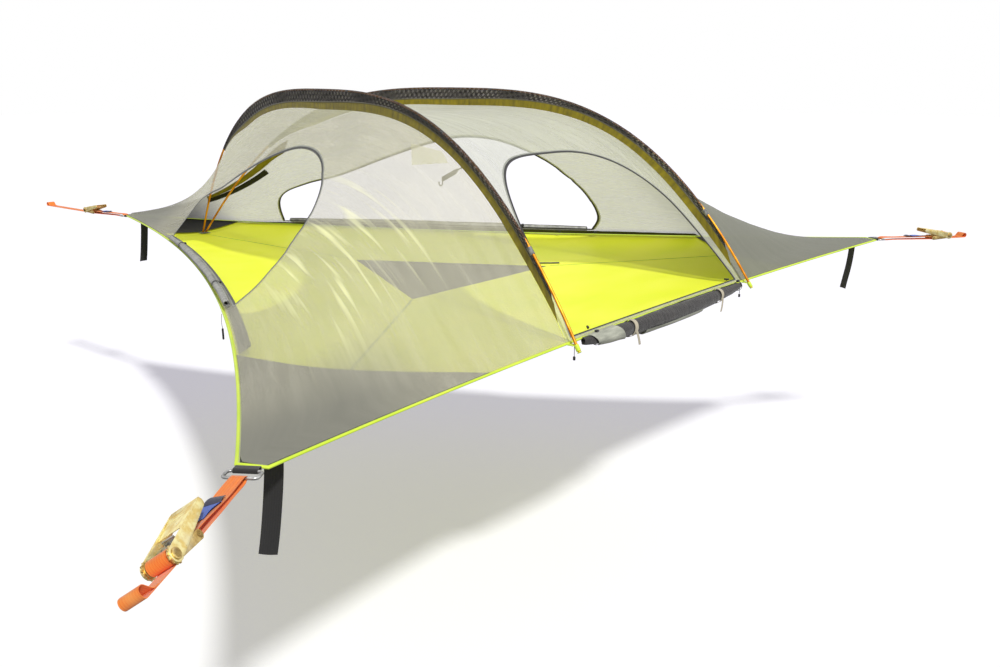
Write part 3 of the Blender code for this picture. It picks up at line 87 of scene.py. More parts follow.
def shade(red, green, blue):
    # a screen colour, 0 to 255, as Blender's linear colour
    def straight(value):
        value = value / 255
        return value / 12.92 if value <= 0.04045 else ((value + 0.055) / 1.055) ** 2.4
    return (straight(red), straight(green), straight(blue), 1.0)


class Wire:
    # a socket that can be used in sums
    def __init__(self, nodes, socket):
        self.nodes = nodes
        self.socket = socket

    def maths(self, operation, *others):
        return self.nodes.add("ShaderNodeMath", {"operation": operation}, dict(enumerate((self,) + others)))

    def __add__(self, other):
        return self.maths("ADD", other)

    __radd__ = __add__

    def __sub__(self, other):
        return self.maths("SUBTRACT", other)

    def __rsub__(self, other):
        return self.nodes.add("ShaderNodeMath", {"operation": "SUBTRACT"}, {0: other, 1: self})

    def __mul__(self, other):
        return self.maths("MULTIPLY", other)

    def wave(self, pitch):
        # -1 to 1, repeating every pitch metres
        return (self * (2 * math.pi / pitch)).maths("SINE")

    def stripe(self, pitch, width):
        return self.maths("DIVIDE", pitch).maths("FRACT").maths("LESS_THAN", width)

    def clip(self, low, high):
        # 0 below low, 1 above high and smooth between them
        return self.nodes.add("ShaderNodeMapRange", {"interpolation_type": "SMOOTHSTEP"},
                              {"Value": self, "From Min": low, "From Max": high})


class Nodes:
    # a node tree and ways to add to it
    def __init__(self, tree):
        self.tree = tree

    def feed(self, socket, value):
        if isinstance(value, Wire):
            self.tree.links.new(value.socket, socket)
        else:
            socket.default_value = value

    def add(self, kind, settings=None, sockets=None, out=0):
        node = self.tree.nodes.new(kind)
        for name, value in (settings or {}).items():
            setattr(node, name, value)
        for name, value in (sockets or {}).items():
            self.feed(node.inputs[name], value)
        return Wire(self, node.outputs[out])

    def blend(self, share, first, second):
        # between two colours, given as wires, screen colours or linear colours with alpha
        ends = [shade(*end) if isinstance(end, tuple) and len(end) == 3 else end for end in (first, second)]
        return self.add("ShaderNodeMix", {"data_type": "RGBA"}, {0: share, 6: ends[0], 7: ends[1]}, 2)


class Finish(Nodes):
    # one material and the nodes that make it
    def __init__(self, name, **sockets):
        self.material = bpy.data.materials.new(name)
        self.material.use_nodes = True
        super().__init__(self.material.node_tree)
        self.shader = self.tree.nodes["Principled BSDF"]
        self.set(**sockets)

    def set(self, **sockets):
        for name, value in sockets.items():
            self.feed(self.shader.inputs[name.replace("_", " ")], value)

    def place(self):
        return self.add("ShaderNodeTexCoord", out="Object")

    def cloth(self):
        # the cloth's own metres, along and across
        return self.add("ShaderNodeUVMap", {"uv_map": "UVMap"})

    def axes(self, vector):
        node = self.tree.nodes.new("ShaderNodeSeparateXYZ")
        self.feed(node.inputs[0], vector)
        return [Wire(self, node.outputs[i]) for i in (0, 1)]

    def cloud(self, vector, scale, detail=2.0, roughness=0.5, size=None, turn=0.0):
        if size:
            vector = self.add("ShaderNodeMapping", None, {"Vector": vector, "Scale": size, "Rotation": (0, 0, turn)})
        return self.add("ShaderNodeTexNoise", None,
                        {"Vector": vector, "Scale": scale, "Detail": detail, "Roughness": roughness})

    def bump(self, height, depth, strength=1.0):
        self.set(Normal=self.add("ShaderNodeBump", None, {"Height": height, "Distance": depth, "Strength": strength}))

    def weave(self, cloth, pitch):
        # over and under threads, 0 to 1, at a thread pitch in metres
        x, y = self.axes(cloth)
        return (x.wave(pitch) * y.wave(pitch)) * 0.5 + 0.5


# camera, light and ground

view = {"place": (-3.2148, -6.8437, 0.8462), "yaw": -50.495, "pitch": -14.939, "roll": -0.152, "lens": 34.123}
light = {"keyPower": 2.7, "keyFrom": (-0.44, -0.84, 1.0), "keySoftness": 5.0, "sky": 0.32}
ground = {"height": -1.345, "half": 60.0, "grey": 0.80, "bounce": 0.40, "glow": 0.34, "tint": (0.85, 0.81, 1, 1)}


def setCamera():
    deselect()
    bpy.ops.object.camera_add(location=view["place"])
    camera = bpy.context.object
    turn = Matrix.Rotation(math.radians(view["yaw"]), 3, "Z")
    turn = turn @ Matrix.Rotation(math.radians(90 + view["pitch"]), 3, "X")
    turn = turn @ Matrix.Rotation(math.radians(view["roll"]), 3, "Z")
    camera.rotation_euler = turn.to_euler()
    camera.data.sensor_width = 36
    camera.data.sensor_fit = "HORIZONTAL"
    camera.data.lens = view["lens"]
    camera.data.clip_end = 500
    bpy.context.scene.camera = camera
    bpy.context.scene.view_settings.view_transform = "Standard"


def setLight():
    deselect()
    bpy.ops.object.light_add(type="SUN", location=(0, -6, 6))
    key = bpy.context.object
    key.rotation_euler = Vector(light["keyFrom"]).to_track_quat("Z", "Y").to_euler()
    key.data.energy = light["keyPower"]
    key.data.angle = math.radians(light["keySoftness"])
    world = bpy.data.worlds.new("studio")
    bpy.context.scene.world = world
    world.use_nodes = True
    sky = Nodes(world.node_tree)
    path = sky.tree.nodes.new("ShaderNodeLightPath")
    seen, *others = [Wire(sky, path.outputs[f"Is {kind} Ray"]) for kind in ("Camera", "Glossy", "Transmission")]
    for ray in others:
        seen = seen.maths("MAXIMUM", ray)
    back = sky.tree.nodes["Background"].inputs
    sky.feed(back["Strength"], sky.add("ShaderNodeMapRange", None, {"Value": seen, "To Min": light["sky"]}))
    sky.feed(back["Color"], (1, 1, 1, 1))


def setGround():
    deselect()
    bpy.ops.mesh.primitive_plane_add(size=ground["half"] * 2, location=(0, 0, 0))
    floor = bpy.context.object
    floor.name = "studio_floor"
    bpy.ops.object.mode_set(mode="EDIT")
    bpy.ops.mesh.select_all(action="SELECT")
    bpy.ops.transform.translate(value=(0, 0, ground["height"]))
    bpy.ops.object.mode_set(mode="OBJECT")
    pale = Finish("studio_floor", Roughness=1.0, Specular_IOR_Level=0.0, Emission_Strength=ground["glow"])
    seen = pale.add("ShaderNodeLightPath", out="Is Camera Ray")
    pale.set(Base_Color=pale.blend(seen, (*[ground["bounce"]] * 3, 1), (*[ground["grey"]] * 3, 1)),
             Emission_Color=pale.blend(seen, (0, 0, 0, 1), ground["tint"]))
    floor.data.materials.append(pale.material)


setCamera()
setLight()
setGround()


# materials

def canopyFinish(name, tone, dark, alpha, tip=None, painted_highlights=None):
    # thin see-through cloth with a painted glow, emission that lifts the parts lying in shade, and painted shade
    # towards the tips
    finish = Finish(name, Emission_Strength=0.30, Sheen_Weight=0.15)
    cloth = finish.cloth()
    u, v = finish.axes(cloth)
    threads = finish.weave(cloth, 0.0016)
    streaks = finish.cloud(cloth, 3.0, 4.0, 0.55, (0.9, 7.0, 1.0), 0.10)
    patches = finish.cloud(cloth, 1.1, 2.0)
    # tone and glow vary partly at random with the patches and partly as a painted highlight, lighter on the crests of
    # the streaks
    glow = colour = finish.blend((streaks * 0.5 + patches * 0.5).clip(0.30, 0.70), dark, tone)
    clear = alpha + (streaks - 0.5) * 0.10 + (threads - 0.5) * 0.06
    if tip:
        # painted shade: darker colour and a weaker glow near the rear tip and over the range along and down, where the
        # cloth is also made denser
        ends = (1 - u.clip(0.45, 0.95)).maths("MAXIMUM", u.clip(*tip["along"]) * v.clip(*tip["down"]))
        colour = finish.blend(ends * 0.75, colour, tip["tone"])
        glow = finish.blend(ends * 0.85, colour, (70, 70, 62))
        clear = clear + ends * tip["cover"]
    if painted_highlights:
        # painted highlights: pale lines along the cloth, where light would catch the wrinkles, inside the range from,
        # to, upper, lower
        start, end, upper, lower = painted_highlights
        lines = finish.cloud(cloth, 3.0, 1.0, 0.4, (0.6, 13.0, 1.0), -0.07).clip(0.52, 0.74)
        inside = u.clip(start, start + 0.5) * (1 - u.clip(end - 0.5, end))
        inside = inside * v.clip(upper, upper + 0.2) * (1 - v.clip(lower - 0.25, lower))
        glow = finish.blend(lines * inside * 0.7, glow, (255, 255, 206))
        colour = finish.blend(lines * inside * 0.7, colour, (252, 252, 206))
        clear = clear + lines * inside * 0.17
    # Emission Color carries the painted glow
    finish.set(Base_Color=colour, Roughness=0.45 + streaks * 0.20, Emission_Color=glow, Alpha=clear)
    finish.bump(streaks + threads * 0.05, 0.0022, 0.6)
    return finish.material


def clothFinish(name, tone, dark, pitch, sheen, roughness, wrinkle, streak=(1, 1, 1)):
    # close woven cloth
    finish = Finish(name, Sheen_Weight=sheen)
    cloth = finish.cloth()
    threads = finish.weave(cloth, pitch)
    folds = finish.cloud(cloth, 5.0, 5.0, 0.58, streak)
    dust = finish.cloud(cloth, 1.3, 3.0)
    # painted shade: darker in the fold hollows, where the bump is low, and mottled at random by the dust
    colour = finish.blend((folds * 0.7 + dust * 0.3).clip(0.30, 0.70), dark, tone)
    finish.set(Base_Color=finish.blend(threads * 0.18, colour, dark), Roughness=roughness - 0.12 + folds * 0.25)
    finish.bump(folds + threads * 0.06, wrinkle, 0.7)
    return finish.material


def floorFinish():
    # bright coated nylon with a faint box grid, and a painted glow, emission that lifts it where it lies in shade; the
    # panel seams are separate pieces
    finish = Finish("floor_cloth", Emission_Strength=0.11)
    cloth = finish.cloth()
    x, y = finish.axes(cloth)
    box = x.stripe(0.006, 0.10).maths("MAXIMUM", y.stripe(0.006, 0.10))
    folds = finish.cloud(cloth, 2.2, 5.0, 0.55, (1.0, 2.6, 1.0), 0.35)
    # painted shade: duller in the fold hollows, where the bump is low
    tone = finish.blend(folds.clip(0.30, 0.72), (240, 250, 40), (252, 255, 76))
    tone = finish.blend(box * 0.10, tone, (206, 222, 26))
    finish.set(Base_Color=tone, Emission_Color=tone, Roughness=0.42 + folds * 0.22)
    finish.bump(folds + box * 0.04, 0.0025, 0.5)
    return finish.material


def webbingFinish(name, tone, dark, worn=None):
    # ribbed tape: u runs across and v along, in metres
    finish = Finish(name, Sheen_Weight=0.25)
    cloth = finish.cloth()
    u, v = finish.axes(cloth)
    ribs = v.wave(0.0024) * 0.5 + 0.5
    rows = u.wave(0.0060) * 0.5 + 0.5
    twill = (u + v).wave(0.0034) * 0.5 + 0.5
    wear = finish.cloud(cloth, 40.0, 3.0)
    colour = finish.blend((ribs * 0.45 + rows * 0.30 + wear * 0.45).clip(0.25, 0.85), dark, tone)
    if worn:
        colour = finish.blend(finish.cloud(cloth, 6.0, 3.0).clip(0.52, 0.75) * 0.5, colour, worn)
    finish.set(Base_Color=colour, Roughness=0.62 + wear * 0.25)
    finish.bump(ribs * 0.6 + twill * 0.3 + rows * 0.25, 0.0004, 0.9)
    return finish.material


def meshFinish(name, cover):
    # two layers of netting, whose threads beat against each other
    finish = Finish(name, Roughness=0.8)
    cloth = finish.cloth()
    u, v = finish.axes(cloth)
    near = u.wave(0.0118) * v.wave(0.0118)
    turned = finish.add("ShaderNodeMapping", None, {"Vector": cloth, "Rotation": (0, 0, 0.22)})
    a, b = finish.axes(turned)
    far = a.wave(0.0131) * b.wave(0.0131)
    spots = u.wave(0.046) * (v + u * 0.4).wave(0.034)
    beat = (near + far).clip(0.25, 1.35)
    beat = beat.maths("MAXIMUM", spots.clip(0.15, 0.75) * finish.cloud(cloth, 2.2, 1.0).clip(0.40, 0.60))
    colour = finish.blend(beat * 0.85, (30, 26, 28), (176, 170, 168))
    colour = finish.blend(finish.cloud(cloth, 60.0, 2.0).clip(0.55, 0.75) * 0.25, colour, (60, 56, 64))
    finish.set(Base_Color=colour, Alpha=cover - beat * 0.30)
    finish.bump(beat, 0.0008, 0.6)
    return finish.material


def metalFinish(name, tone, dark, roughness, grain=(40, 4, 40), rainbow=None):
    # plated metal with fine grain, dull patches and dark marks at random
    finish = Finish(name, Metallic=1.0)
    place = finish.place()
    brushed = finish.cloud(place, 30.0, 4.0, 0.6, grain)
    patches = finish.cloud(place, 55.0, 4.0, 0.6)
    marks = finish.cloud(place, 160.0, 2.0)
    colour = finish.blend(patches.clip(0.35, 0.70), dark, tone)
    if rainbow:
        colour = finish.blend(finish.cloud(place, 24.0, 3.0).clip(0.48, 0.72) * 0.45, colour, rainbow)
    colour = finish.blend(marks.clip(0.66, 0.78) * 0.6, colour, (60, 50, 35))
    finish.set(Base_Color=colour, Roughness=roughness + patches * 0.22 + brushed * 0.08)
    finish.bump(brushed * 0.5 + marks * 0.3, 0.0002, 0.5)
    return finish.material


def plasticFinish(name, tone, dark, roughness=0.45):
    finish = Finish(name)
    place = finish.place()
    rub = finish.cloud(place, 70.0, 3.0)
    finish.set(Base_Color=finish.blend(rub.clip(0.4, 0.7), dark, tone), Roughness=roughness + rub * 0.2)
    finish.bump(finish.cloud(place, 900.0, 2.0), 0.00015, 0.6)
    return finish.material


def poleFinish():
    # anodised alloy: fine lengthwise grain, rubbed paler in places
    finish = Finish("gold_pole", Metallic=0.75)
    place = finish.place()
    grain = finish.cloud(place, 12.0, 3.0, size=(60, 8, 60))
    colour = finish.blend(finish.cloud(place, 14.0, 4.0).clip(0.35, 0.7), (196, 118, 22), (250, 172, 44))
    finish.set(Base_Color=colour, Roughness=0.30 + grain * 0.18)
    finish.bump(grain, 0.0001, 0.4)
    return finish.material


finishes = {
    "canopy": canopyFinish("canopy_cloth", (196, 197, 180), (172, 173, 158), 0.40),
    "wall-1": canopyFinish("wall_cloth", (194, 191, 172), (172, 169, 150), 0.38,
                           # painted shade at the near wall's tips
                           {"along": (3.95, 4.30), "down": (0.45, 0.85), "tone": (122, 122, 112), "cover": 0.30},
                           # range of painted highlights on the near wall: from, to, upper, lower
                           (2.85, 4.20, 0.22, 0.98)),
    "wall1": canopyFinish("far_wall_cloth", (194, 193, 176), (170, 169, 152), 0.40,
                          # painted shade at the far wall's tips
                          {"along": (3.35, 4.05), "down": (-0.30, 0.10), "tone": (98, 100, 86), "cover": 0.34}),
    "cream": canopyFinish("cream_flap", (255, 252, 236), (240, 236, 216), 0.34),
    "floor": floorFinish(),
    "mesh": meshFinish("black_mesh", 0.93),
    "hem": meshFinish("hem_mesh", 0.80),
    "pole": poleFinish(),
    "greyPlastic": plasticFinish("grey_plastic", (150, 150, 148), (104, 104, 104), 0.5),
    "blackPlastic": plasticFinish("black_plastic", (44, 44, 46), (20, 20, 22)),
    "steel": metalFinish("steel", (206, 206, 204), (150, 150, 150), 0.22),
    "zinc": metalFinish("gold_zinc", (236, 210, 140), (190, 156, 88), 0.25, (40, 6, 40), (226, 214, 180)),
    "brass": metalFinish("pale_zinc", (255, 246, 186), (236, 208, 128), 0.26, (40, 6, 40), (250, 246, 214)),
    "blackWebbing": webbingFinish("black_webbing", (28, 26, 26), (8, 8, 8)),
    "zipTeeth": webbingFinish("zip_teeth", (32, 30, 30), (10, 9, 10)),
    "orangeWebbing": webbingFinish("orange_webbing", (255, 150, 58), (244, 106, 22), (255, 206, 122)),
    "tanWebbing": webbingFinish("tan_webbing", (214, 204, 180), (160, 150, 128)),
}
# closely woven cloths: name, tone, dark tone (the painted shade in the fold hollows, and the weave), thread pitch,
# sheen, roughness, wrinkle depth and stretch of the folds
for key, row in {
    "neon": ("neon_binding", (236, 255, 84), (204, 236, 44), 0.0012, 0.2, 0.6, 0.0006),
    "black": ("black_cloth", (46, 45, 44), (22, 21, 22), 0.0011, 0.3, 0.75, 0.003),
    # a darker black: the skirts' and black flap's own colour, and painted shade on the rear corner panel
    "deepBlackAndShade": ("deep_black_and_shade", (26, 25, 25), (10, 10, 10), 0.0011, 0.08, 0.8, 0.003),
    "olive": ("olive_cloth", (158, 142, 8), (104, 92, 2), 0.0012, 0.15, 0.6, 0.003, (2, 9, 1)),
    "greyCloth": ("grey_cloth", (158, 158, 152), (96, 96, 92), 0.0011, 0.25, 0.7, 0.004, (3, 9, 1)),
    "greyRoll": ("roll_grey", (196, 196, 190), (120, 120, 116), 0.0011, 0.25, 0.7, 0.004, (3, 9, 1)),
    "paleLining": ("roll_lining", (206, 208, 190), (150, 152, 138), 0.0011, 0.2, 0.7, 0.003, (3, 9, 1)),
    "charcoal": ("roll_cloth", (66, 62, 60), (28, 26, 26), 0.0011, 0.3, 0.72, 0.005, (3, 10, 1)),
    "greyTape": ("door_tape", (176, 178, 168), (138, 140, 130), 0.0010, 0.2, 0.65, 0.0008),
    "seam": ("floor_seam", (216, 230, 44), (186, 202, 28), 0.0010, 0.15, 0.6, 0.0008),
    "seamGrey": ("sleeve_seam", (120, 116, 96), (76, 72, 56), 0.0010, 0.2, 0.7, 0.0006),
    "blue": ("tag_blue", (66, 118, 226), (34, 74, 176), 0.0010, 0.2, 0.65, 0.001),
    "navy": ("tag_navy", (34, 38, 78), (18, 20, 48), 0.0010, 0.2, 0.65, 0.001),
    "thread": ("thread", (255, 190, 120), (230, 120, 60), 0.0010, 0.2, 0.7, 0.0003),
}.items():
    finishes[key] = clothFinish(*row)
print("materials made:", len(finishes))


# lines of the tent

plan = {"frontSpan": 4.226, "tailReach": 2.980, "frontReach": 1.210, "sideBow": 0.225, "frontBow": 0.163,
        "frontSag": 0.030, "tipCut": 0.100, "floorSag": 0.040, "floorFall": 0.45, "bindingWidth": 0.010,
        "clothInset": 0.0071}
arch = {"rearX": 0.010, "rearY": 2.067, "frontX": 0.665, "frontY": -1.110, "frontZ": -0.047, "height": 0.839,
        "fullness": 2.94, "skew": 1.038, "bow": 0.077, "radius": 0.0055}
fin = {"depth": 0.105, "rear": 0.55, "end": 0.016, "start": 0.15, "grown": 0.26, "shrink": 0.90, "narrow": 0.45}
canopy = {"ridge": 0.27, "lift": 0.0048, "slack": 0.040, "roofSlack": 0.030, "crestGap": 0.0016, "lastRow": 0.9635,
          "nook": 0.0090}

tips = {"rear": Vector((0, plan["tailReach"], 0)),
        "left": Vector((-plan["frontSpan"] / 2, -plan["frontReach"], 0)),
        "right": Vector((plan["frontSpan"] / 2, -plan["frontReach"], 0))}
centre = sum(tips.values(), Vector()) / 3
sideLength = (tips["left"] - tips["rear"]).length
tipShare = plan["tipCut"] / sideLength
frontTipShare = plan["tipCut"] / plan["frontSpan"]
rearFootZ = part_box("pole_seat_rear")[1][2] - hang.z + 0.0003 + arch["radius"] * 0.70
footShare = {side: 0.5 + side * arch["frontX"] / plan["frontSpan"] for side in (-1, 1)}
sideOf = {-1: "left", 1: "right"}


def within(value, low=0.0, high=1.0):
    return min(high, max(low, value))


def mix(start, end, share):
    return start + (end - start) * share


def ease(low, high, value):
    share = within((value - low) / (high - low))
    return share * share * (3 - 2 * share)


def crossways(run):
    return Vector((-run.y, run.x, 0))


def inwardOf(run, place):
    # across a line, towards the tent's middle
    inward = crossways(run).normalized()
    return -inward if inward.dot(centre - place) < 0 else inward


def edgePoint(start, end, share, bow, sag=0.0):
    run = tips[end] - tips[start]
    curve = 4 * share * (1 - share)
    return tips[start] + run * share + inwardOf(run, tips[start]) * (bow * curve) - Vector((0, 0, sag * curve))


def sideEdge(side, share):
    return edgePoint("rear", sideOf[side], share, plan["sideBow"])


def frontEdge(share):
    return edgePoint("left", "right", share, plan["frontBow"], plan["frontSag"])


def insideOf(line, share, distance):
    # a point beside an edge line, on the tent's side of it
    run = (line(min(1, share + 0.002)) - line(max(0, share - 0.002))).normalized()
    return line(share) + inwardOf(run, line(share)) * distance


def floorHeight(x, y):
    height, nearest = 0.0, None
    for start, end, bow, sag in (("rear", "left", plan["sideBow"], 0.0), ("rear", "right", plan["sideBow"], 0.0),
                                 ("left", "right", plan["frontBow"], plan["frontSag"])):
        run = tips[end] - tips[start]
        along = run.normalized()
        offset = Vector((x, y, 0)) - tips[start]
        share = within(offset.dot(along) / run.length)
        curve = 4 * share * (1 - share)
        inward = abs(offset.cross(along).z) - bow * curve
        if nearest is None or inward < nearest:
            nearest, height = inward, -sag * curve
    rest = (1 - within(nearest / plan["floorFall"])) ** 3
    return height * rest - plan["floorSag"] * (1 - rest)


def polePoint(side, share):
    skew = share ** arch["skew"]
    x = side * (mix(arch["rearX"], arch["frontX"], share) + arch["bow"] * 4 * share * (1 - share))
    rise = arch["height"] * (1 - abs(2 * skew - 1) ** arch["fullness"])
    return Vector((x, mix(arch["rearY"], arch["frontY"], share), mix(rearFootZ, arch["frontZ"], share) + rise))


def finDirection(side, share):
    tangent = polePoint(side, min(1.0, share + 0.001)) - polePoint(side, max(0.0, share - 0.001))
    chord = polePoint(side, 1.0) - polePoint(side, 0.0)
    out = tangent.cross(crossways(chord).normalized()).normalized()
    return out if out.z > 0 else -out


def finDepth(share):
    grown = fin["depth"] * mix(fin["rear"], 1, share)
    grown *= 1 - 0.5 * ease(fin["shrink"], 1.0, share)
    grown *= 1 - fin["narrow"] * ease(0.48, 0.84, share)
    return mix(fin["end"], grown, ease(fin["start"], fin["grown"], share))


def crestPoint(side, share):
    # the line where wall and roof meet
    if share < canopy["ridge"]:
        start = polePoint(side, fin["start"]) - finDirection(side, fin["start"]) * fin["end"]
        v = share / canopy["ridge"]
        return Vector((side * mix(0.0015, abs(start.x), v * v), mix(plan["tailReach"], start.y, v),
                       mix(canopy["lift"], start.z, 0.45 * v + 0.55 * v ** 3.6)))
    share = mix(fin["start"], 1, (share - canopy["ridge"]) / (1 - canopy["ridge"]))
    place = polePoint(side, share) - finDirection(side, share) * finDepth(share)
    foot = frontEdge(footShare[side]) + Vector((0, plan["bindingWidth"] / 2 + canopy["crestGap"], canopy["lift"]))
    return place.lerp(foot, ease(fin["shrink"], 1.0, share))


def wingShare(archShare):
    return mix(canopy["ridge"], 1, (archShare - fin["start"]) / (1 - fin["start"]))


def wingRow(side, share, down):
    top = crestPoint(side, share)
    along = tipShare + (share - tipShare) * (1 - 2 * tipShare) / (1 - tipShare)
    foot = insideOf(lambda s: sideEdge(side, s), along, 0.0068) + Vector((0, 0, canopy["lift"]))
    top = top + (foot - top).normalized() * canopy["crestGap"]
    slack = canopy["slack"] * math.sin(math.pi * share)
    return top.lerp(foot, down) - Vector((0, 0, slack * 4 * down * (1 - down)))


def frontRow(start, end, share):
    return insideOf(frontEdge, mix(start, end, share), plan["clothInset"]) + Vector((0, 0, canopy["lift"]))


def wingPoint(side, share, down):
    if share <= canopy["lastRow"]:
        return wingRow(side, share, down)
    # past the last row the wall turns onto the front edge and reaches into the front tip
    front = frontRow(footShare[side] + side * 0.0004, frontTipShare if side < 0 else 1 - frontTipShare, down)
    back = wingRow(side, canopy["lastRow"], down)
    on = (share - canopy["lastRow"]) / (1 - canopy["lastRow"])
    nook = wingRow(side, 1.0, 1.0)
    nook = nook + (back - nook).normalized() * canopy["nook"]
    bent = back.lerp(nook, on * 2) if on < 0.5 else nook.lerp(front, on * 2 - 1)
    return back.lerp(front, on).lerp(bent, down ** 8)


def roofRow(share, across):
    left, right = crestPoint(-1, share), crestPoint(1, share)
    inset = (right - left).normalized() * canopy["crestGap"]
    left, right = left + inset, right - inset
    width = (right - left).length / (2 * arch["frontX"])
    drop = canopy["roofSlack"] * width * 4 * across * (1 - across) * (1 - ease(0.90, 1.0, share))
    return left.lerp(right, across) - Vector((0, 0, drop))


def roofPoint(share, across):
    if share <= canopy["lastRow"]:
        return roofRow(share, across)
    front = frontRow(footShare[-1] + 0.0004, footShare[1] - 0.0004, across)
    return roofRow(canopy["lastRow"], across).lerp(front, (share - canopy["lastRow"]) / (1 - canopy["lastRow"]))


def normalOf(surface, u, v):
    # outwards, away from a point low in the tent
    near = 0.004
    across = surface(u, min(1, v + near)) - surface(u, max(0, v - near))
    out = (surface(min(1, u + near), v) - surface(max(0, u - near), v)).cross(across).normalized()
    return out if out.dot(surface(u, v) - centre - Vector((0, 0, -0.8))) > 0 else -out


def wingOut(side, share, down):
    return normalOf(lambda a, b: wingPoint(side, a, b), share, down)


def wheel(radius, turn):
    # a point on a circle, from degrees
    return radius * math.cos(math.radians(turn)), radius * math.sin(math.radians(turn))


def smoothThrough(points, steps):
    line = []
    last = len(points) - 1
    for i in range(last):
        before, after = points[max(0, i - 1)], points[min(last, i + 2)]
        for j in range(steps):
            t = j / steps
            h = (2 * t ** 3 - 3 * t ** 2 + 1, t ** 3 - 2 * t ** 2 + t, -2 * t ** 3 + 3 * t ** 2, t ** 3 - t ** 2)
            line.append(tuple(h[0] * a + h[1] * (b - p) / 2 + h[2] * b + h[3] * (n - a) / 2
                              for a, b, p, n in zip(points[i], points[i + 1], before, after)))
    return line + [tuple(points[-1])]


def resample(points, step, closed=False):
    # even steps along a line of points
    points = [Vector(p) for p in points] + ([Vector(points[0])] if closed else [])
    lengths = [0.0]
    for a, b in zip(points, points[1:]):
        lengths.append(lengths[-1] + (b - a).length)
    count = max(2, round(lengths[-1] / step))
    line, k = [], 0
    for i in range(count if closed else count + 1):
        want = lengths[-1] * i / count
        while k < len(points) - 2 and lengths[k + 1] < want:
            k += 1
        span = lengths[k + 1] - lengths[k]
        line.append(points[k].lerp(points[k + 1], min(1.0, (want - lengths[k]) / span) if span else 0.0))
    return line


def lengthOf(points):
    return sum((b - a).length for a, b in zip(points, points[1:]))


# ways to make cloth, tape, tube and blocks

def keep(name, finish, replaces=None, body="tent"):
    piece = bpy.context.object
    piece.name = piece.data.name = name
    piece.data.materials.clear()
    piece.data.materials.append(finishes[finish])
    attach(piece, body)
    if replaces:
        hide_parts(replaces)
    return piece


def applySteps(piece):
    pick(piece)
    for step in list(piece.modifiers):
        bpy.ops.object.modifier_apply(modifier=step.name)


def thicken(piece, thickness, even=True):
    solid = piece.modifiers.new("thickness", "SOLIDIFY")
    solid.thickness = thickness
    solid.offset = 0.0
    solid.use_even_offset = even
    applySteps(piece)


def soften(piece, width, segments, angle=None):
    # rounds the edges, or only those sharper than an angle
    edge = piece.modifiers.new("edge", "BEVEL")
    edge.width = width
    edge.segments = segments
    if angle:
        edge.limit_method = "ANGLE"
        edge.angle_limit = math.radians(angle)
    applySteps(piece)


def smoothFaces(piece, angle=40):
    pick(piece)
    bpy.ops.object.shade_smooth_by_angle(angle=math.radians(angle))
    return piece


def joinPieces(pieces):
    pick(*pieces)
    bpy.ops.object.join()
    return bpy.context.object


def placed(piece, matrix):
    # moves a piece modelled at the origin to its place, and leaves its object at the origin
    pick(piece)
    piece.matrix_world = matrix
    bpy.ops.object.transform_apply(location=True, rotation=True, scale=True)
    return piece


def frameMatrix(place, x, y, z):
    return Matrix.Translation(hang + place) @ Matrix((x, y, z)).transposed().to_4x4()


def upMatrix(place, up):
    return Matrix.Translation(hang + place) @ up.to_track_quat("Z", "X").to_matrix().to_4x4()


def layCloth(across, along, place, size, thickness=None, joinEnds=False, angle=60):
    # a grid whose points go where place(u, v) says, with its weave in metres
    deselect()
    bpy.ops.mesh.primitive_grid_add(x_subdivisions=across, y_subdivisions=along, size=1)
    piece = bpy.context.object
    for corner in piece.data.uv_layers.active.data:
        corner.uv = (corner.uv.x * size[0], corner.uv.y * size[1])
    for point in piece.data.vertices:
        point.co = hang + place(point.co.x + 0.5, point.co.y + 0.5)
    if joinEnds:
        bpy.ops.object.mode_set(mode="EDIT")
        bpy.ops.mesh.select_all(action="SELECT")
        bpy.ops.mesh.remove_doubles(threshold=0.00005)
        bpy.ops.mesh.normals_make_consistent(inside=False)
        bpy.ops.object.mode_set(mode="OBJECT")
    if thickness:
        thicken(piece, thickness)
    return smoothFaces(piece, angle)


def insideLoop(point, loop):
    found = False
    for a, b in zip(loop, loop[1:] + loop[:1]):
        if (a[1] > point[1]) != (b[1] > point[1]):
            if point[0] < (b[0] - a[0]) * (point[1] - a[1]) / (b[1] - a[1]) + a[0]:
                found = not found
    return found


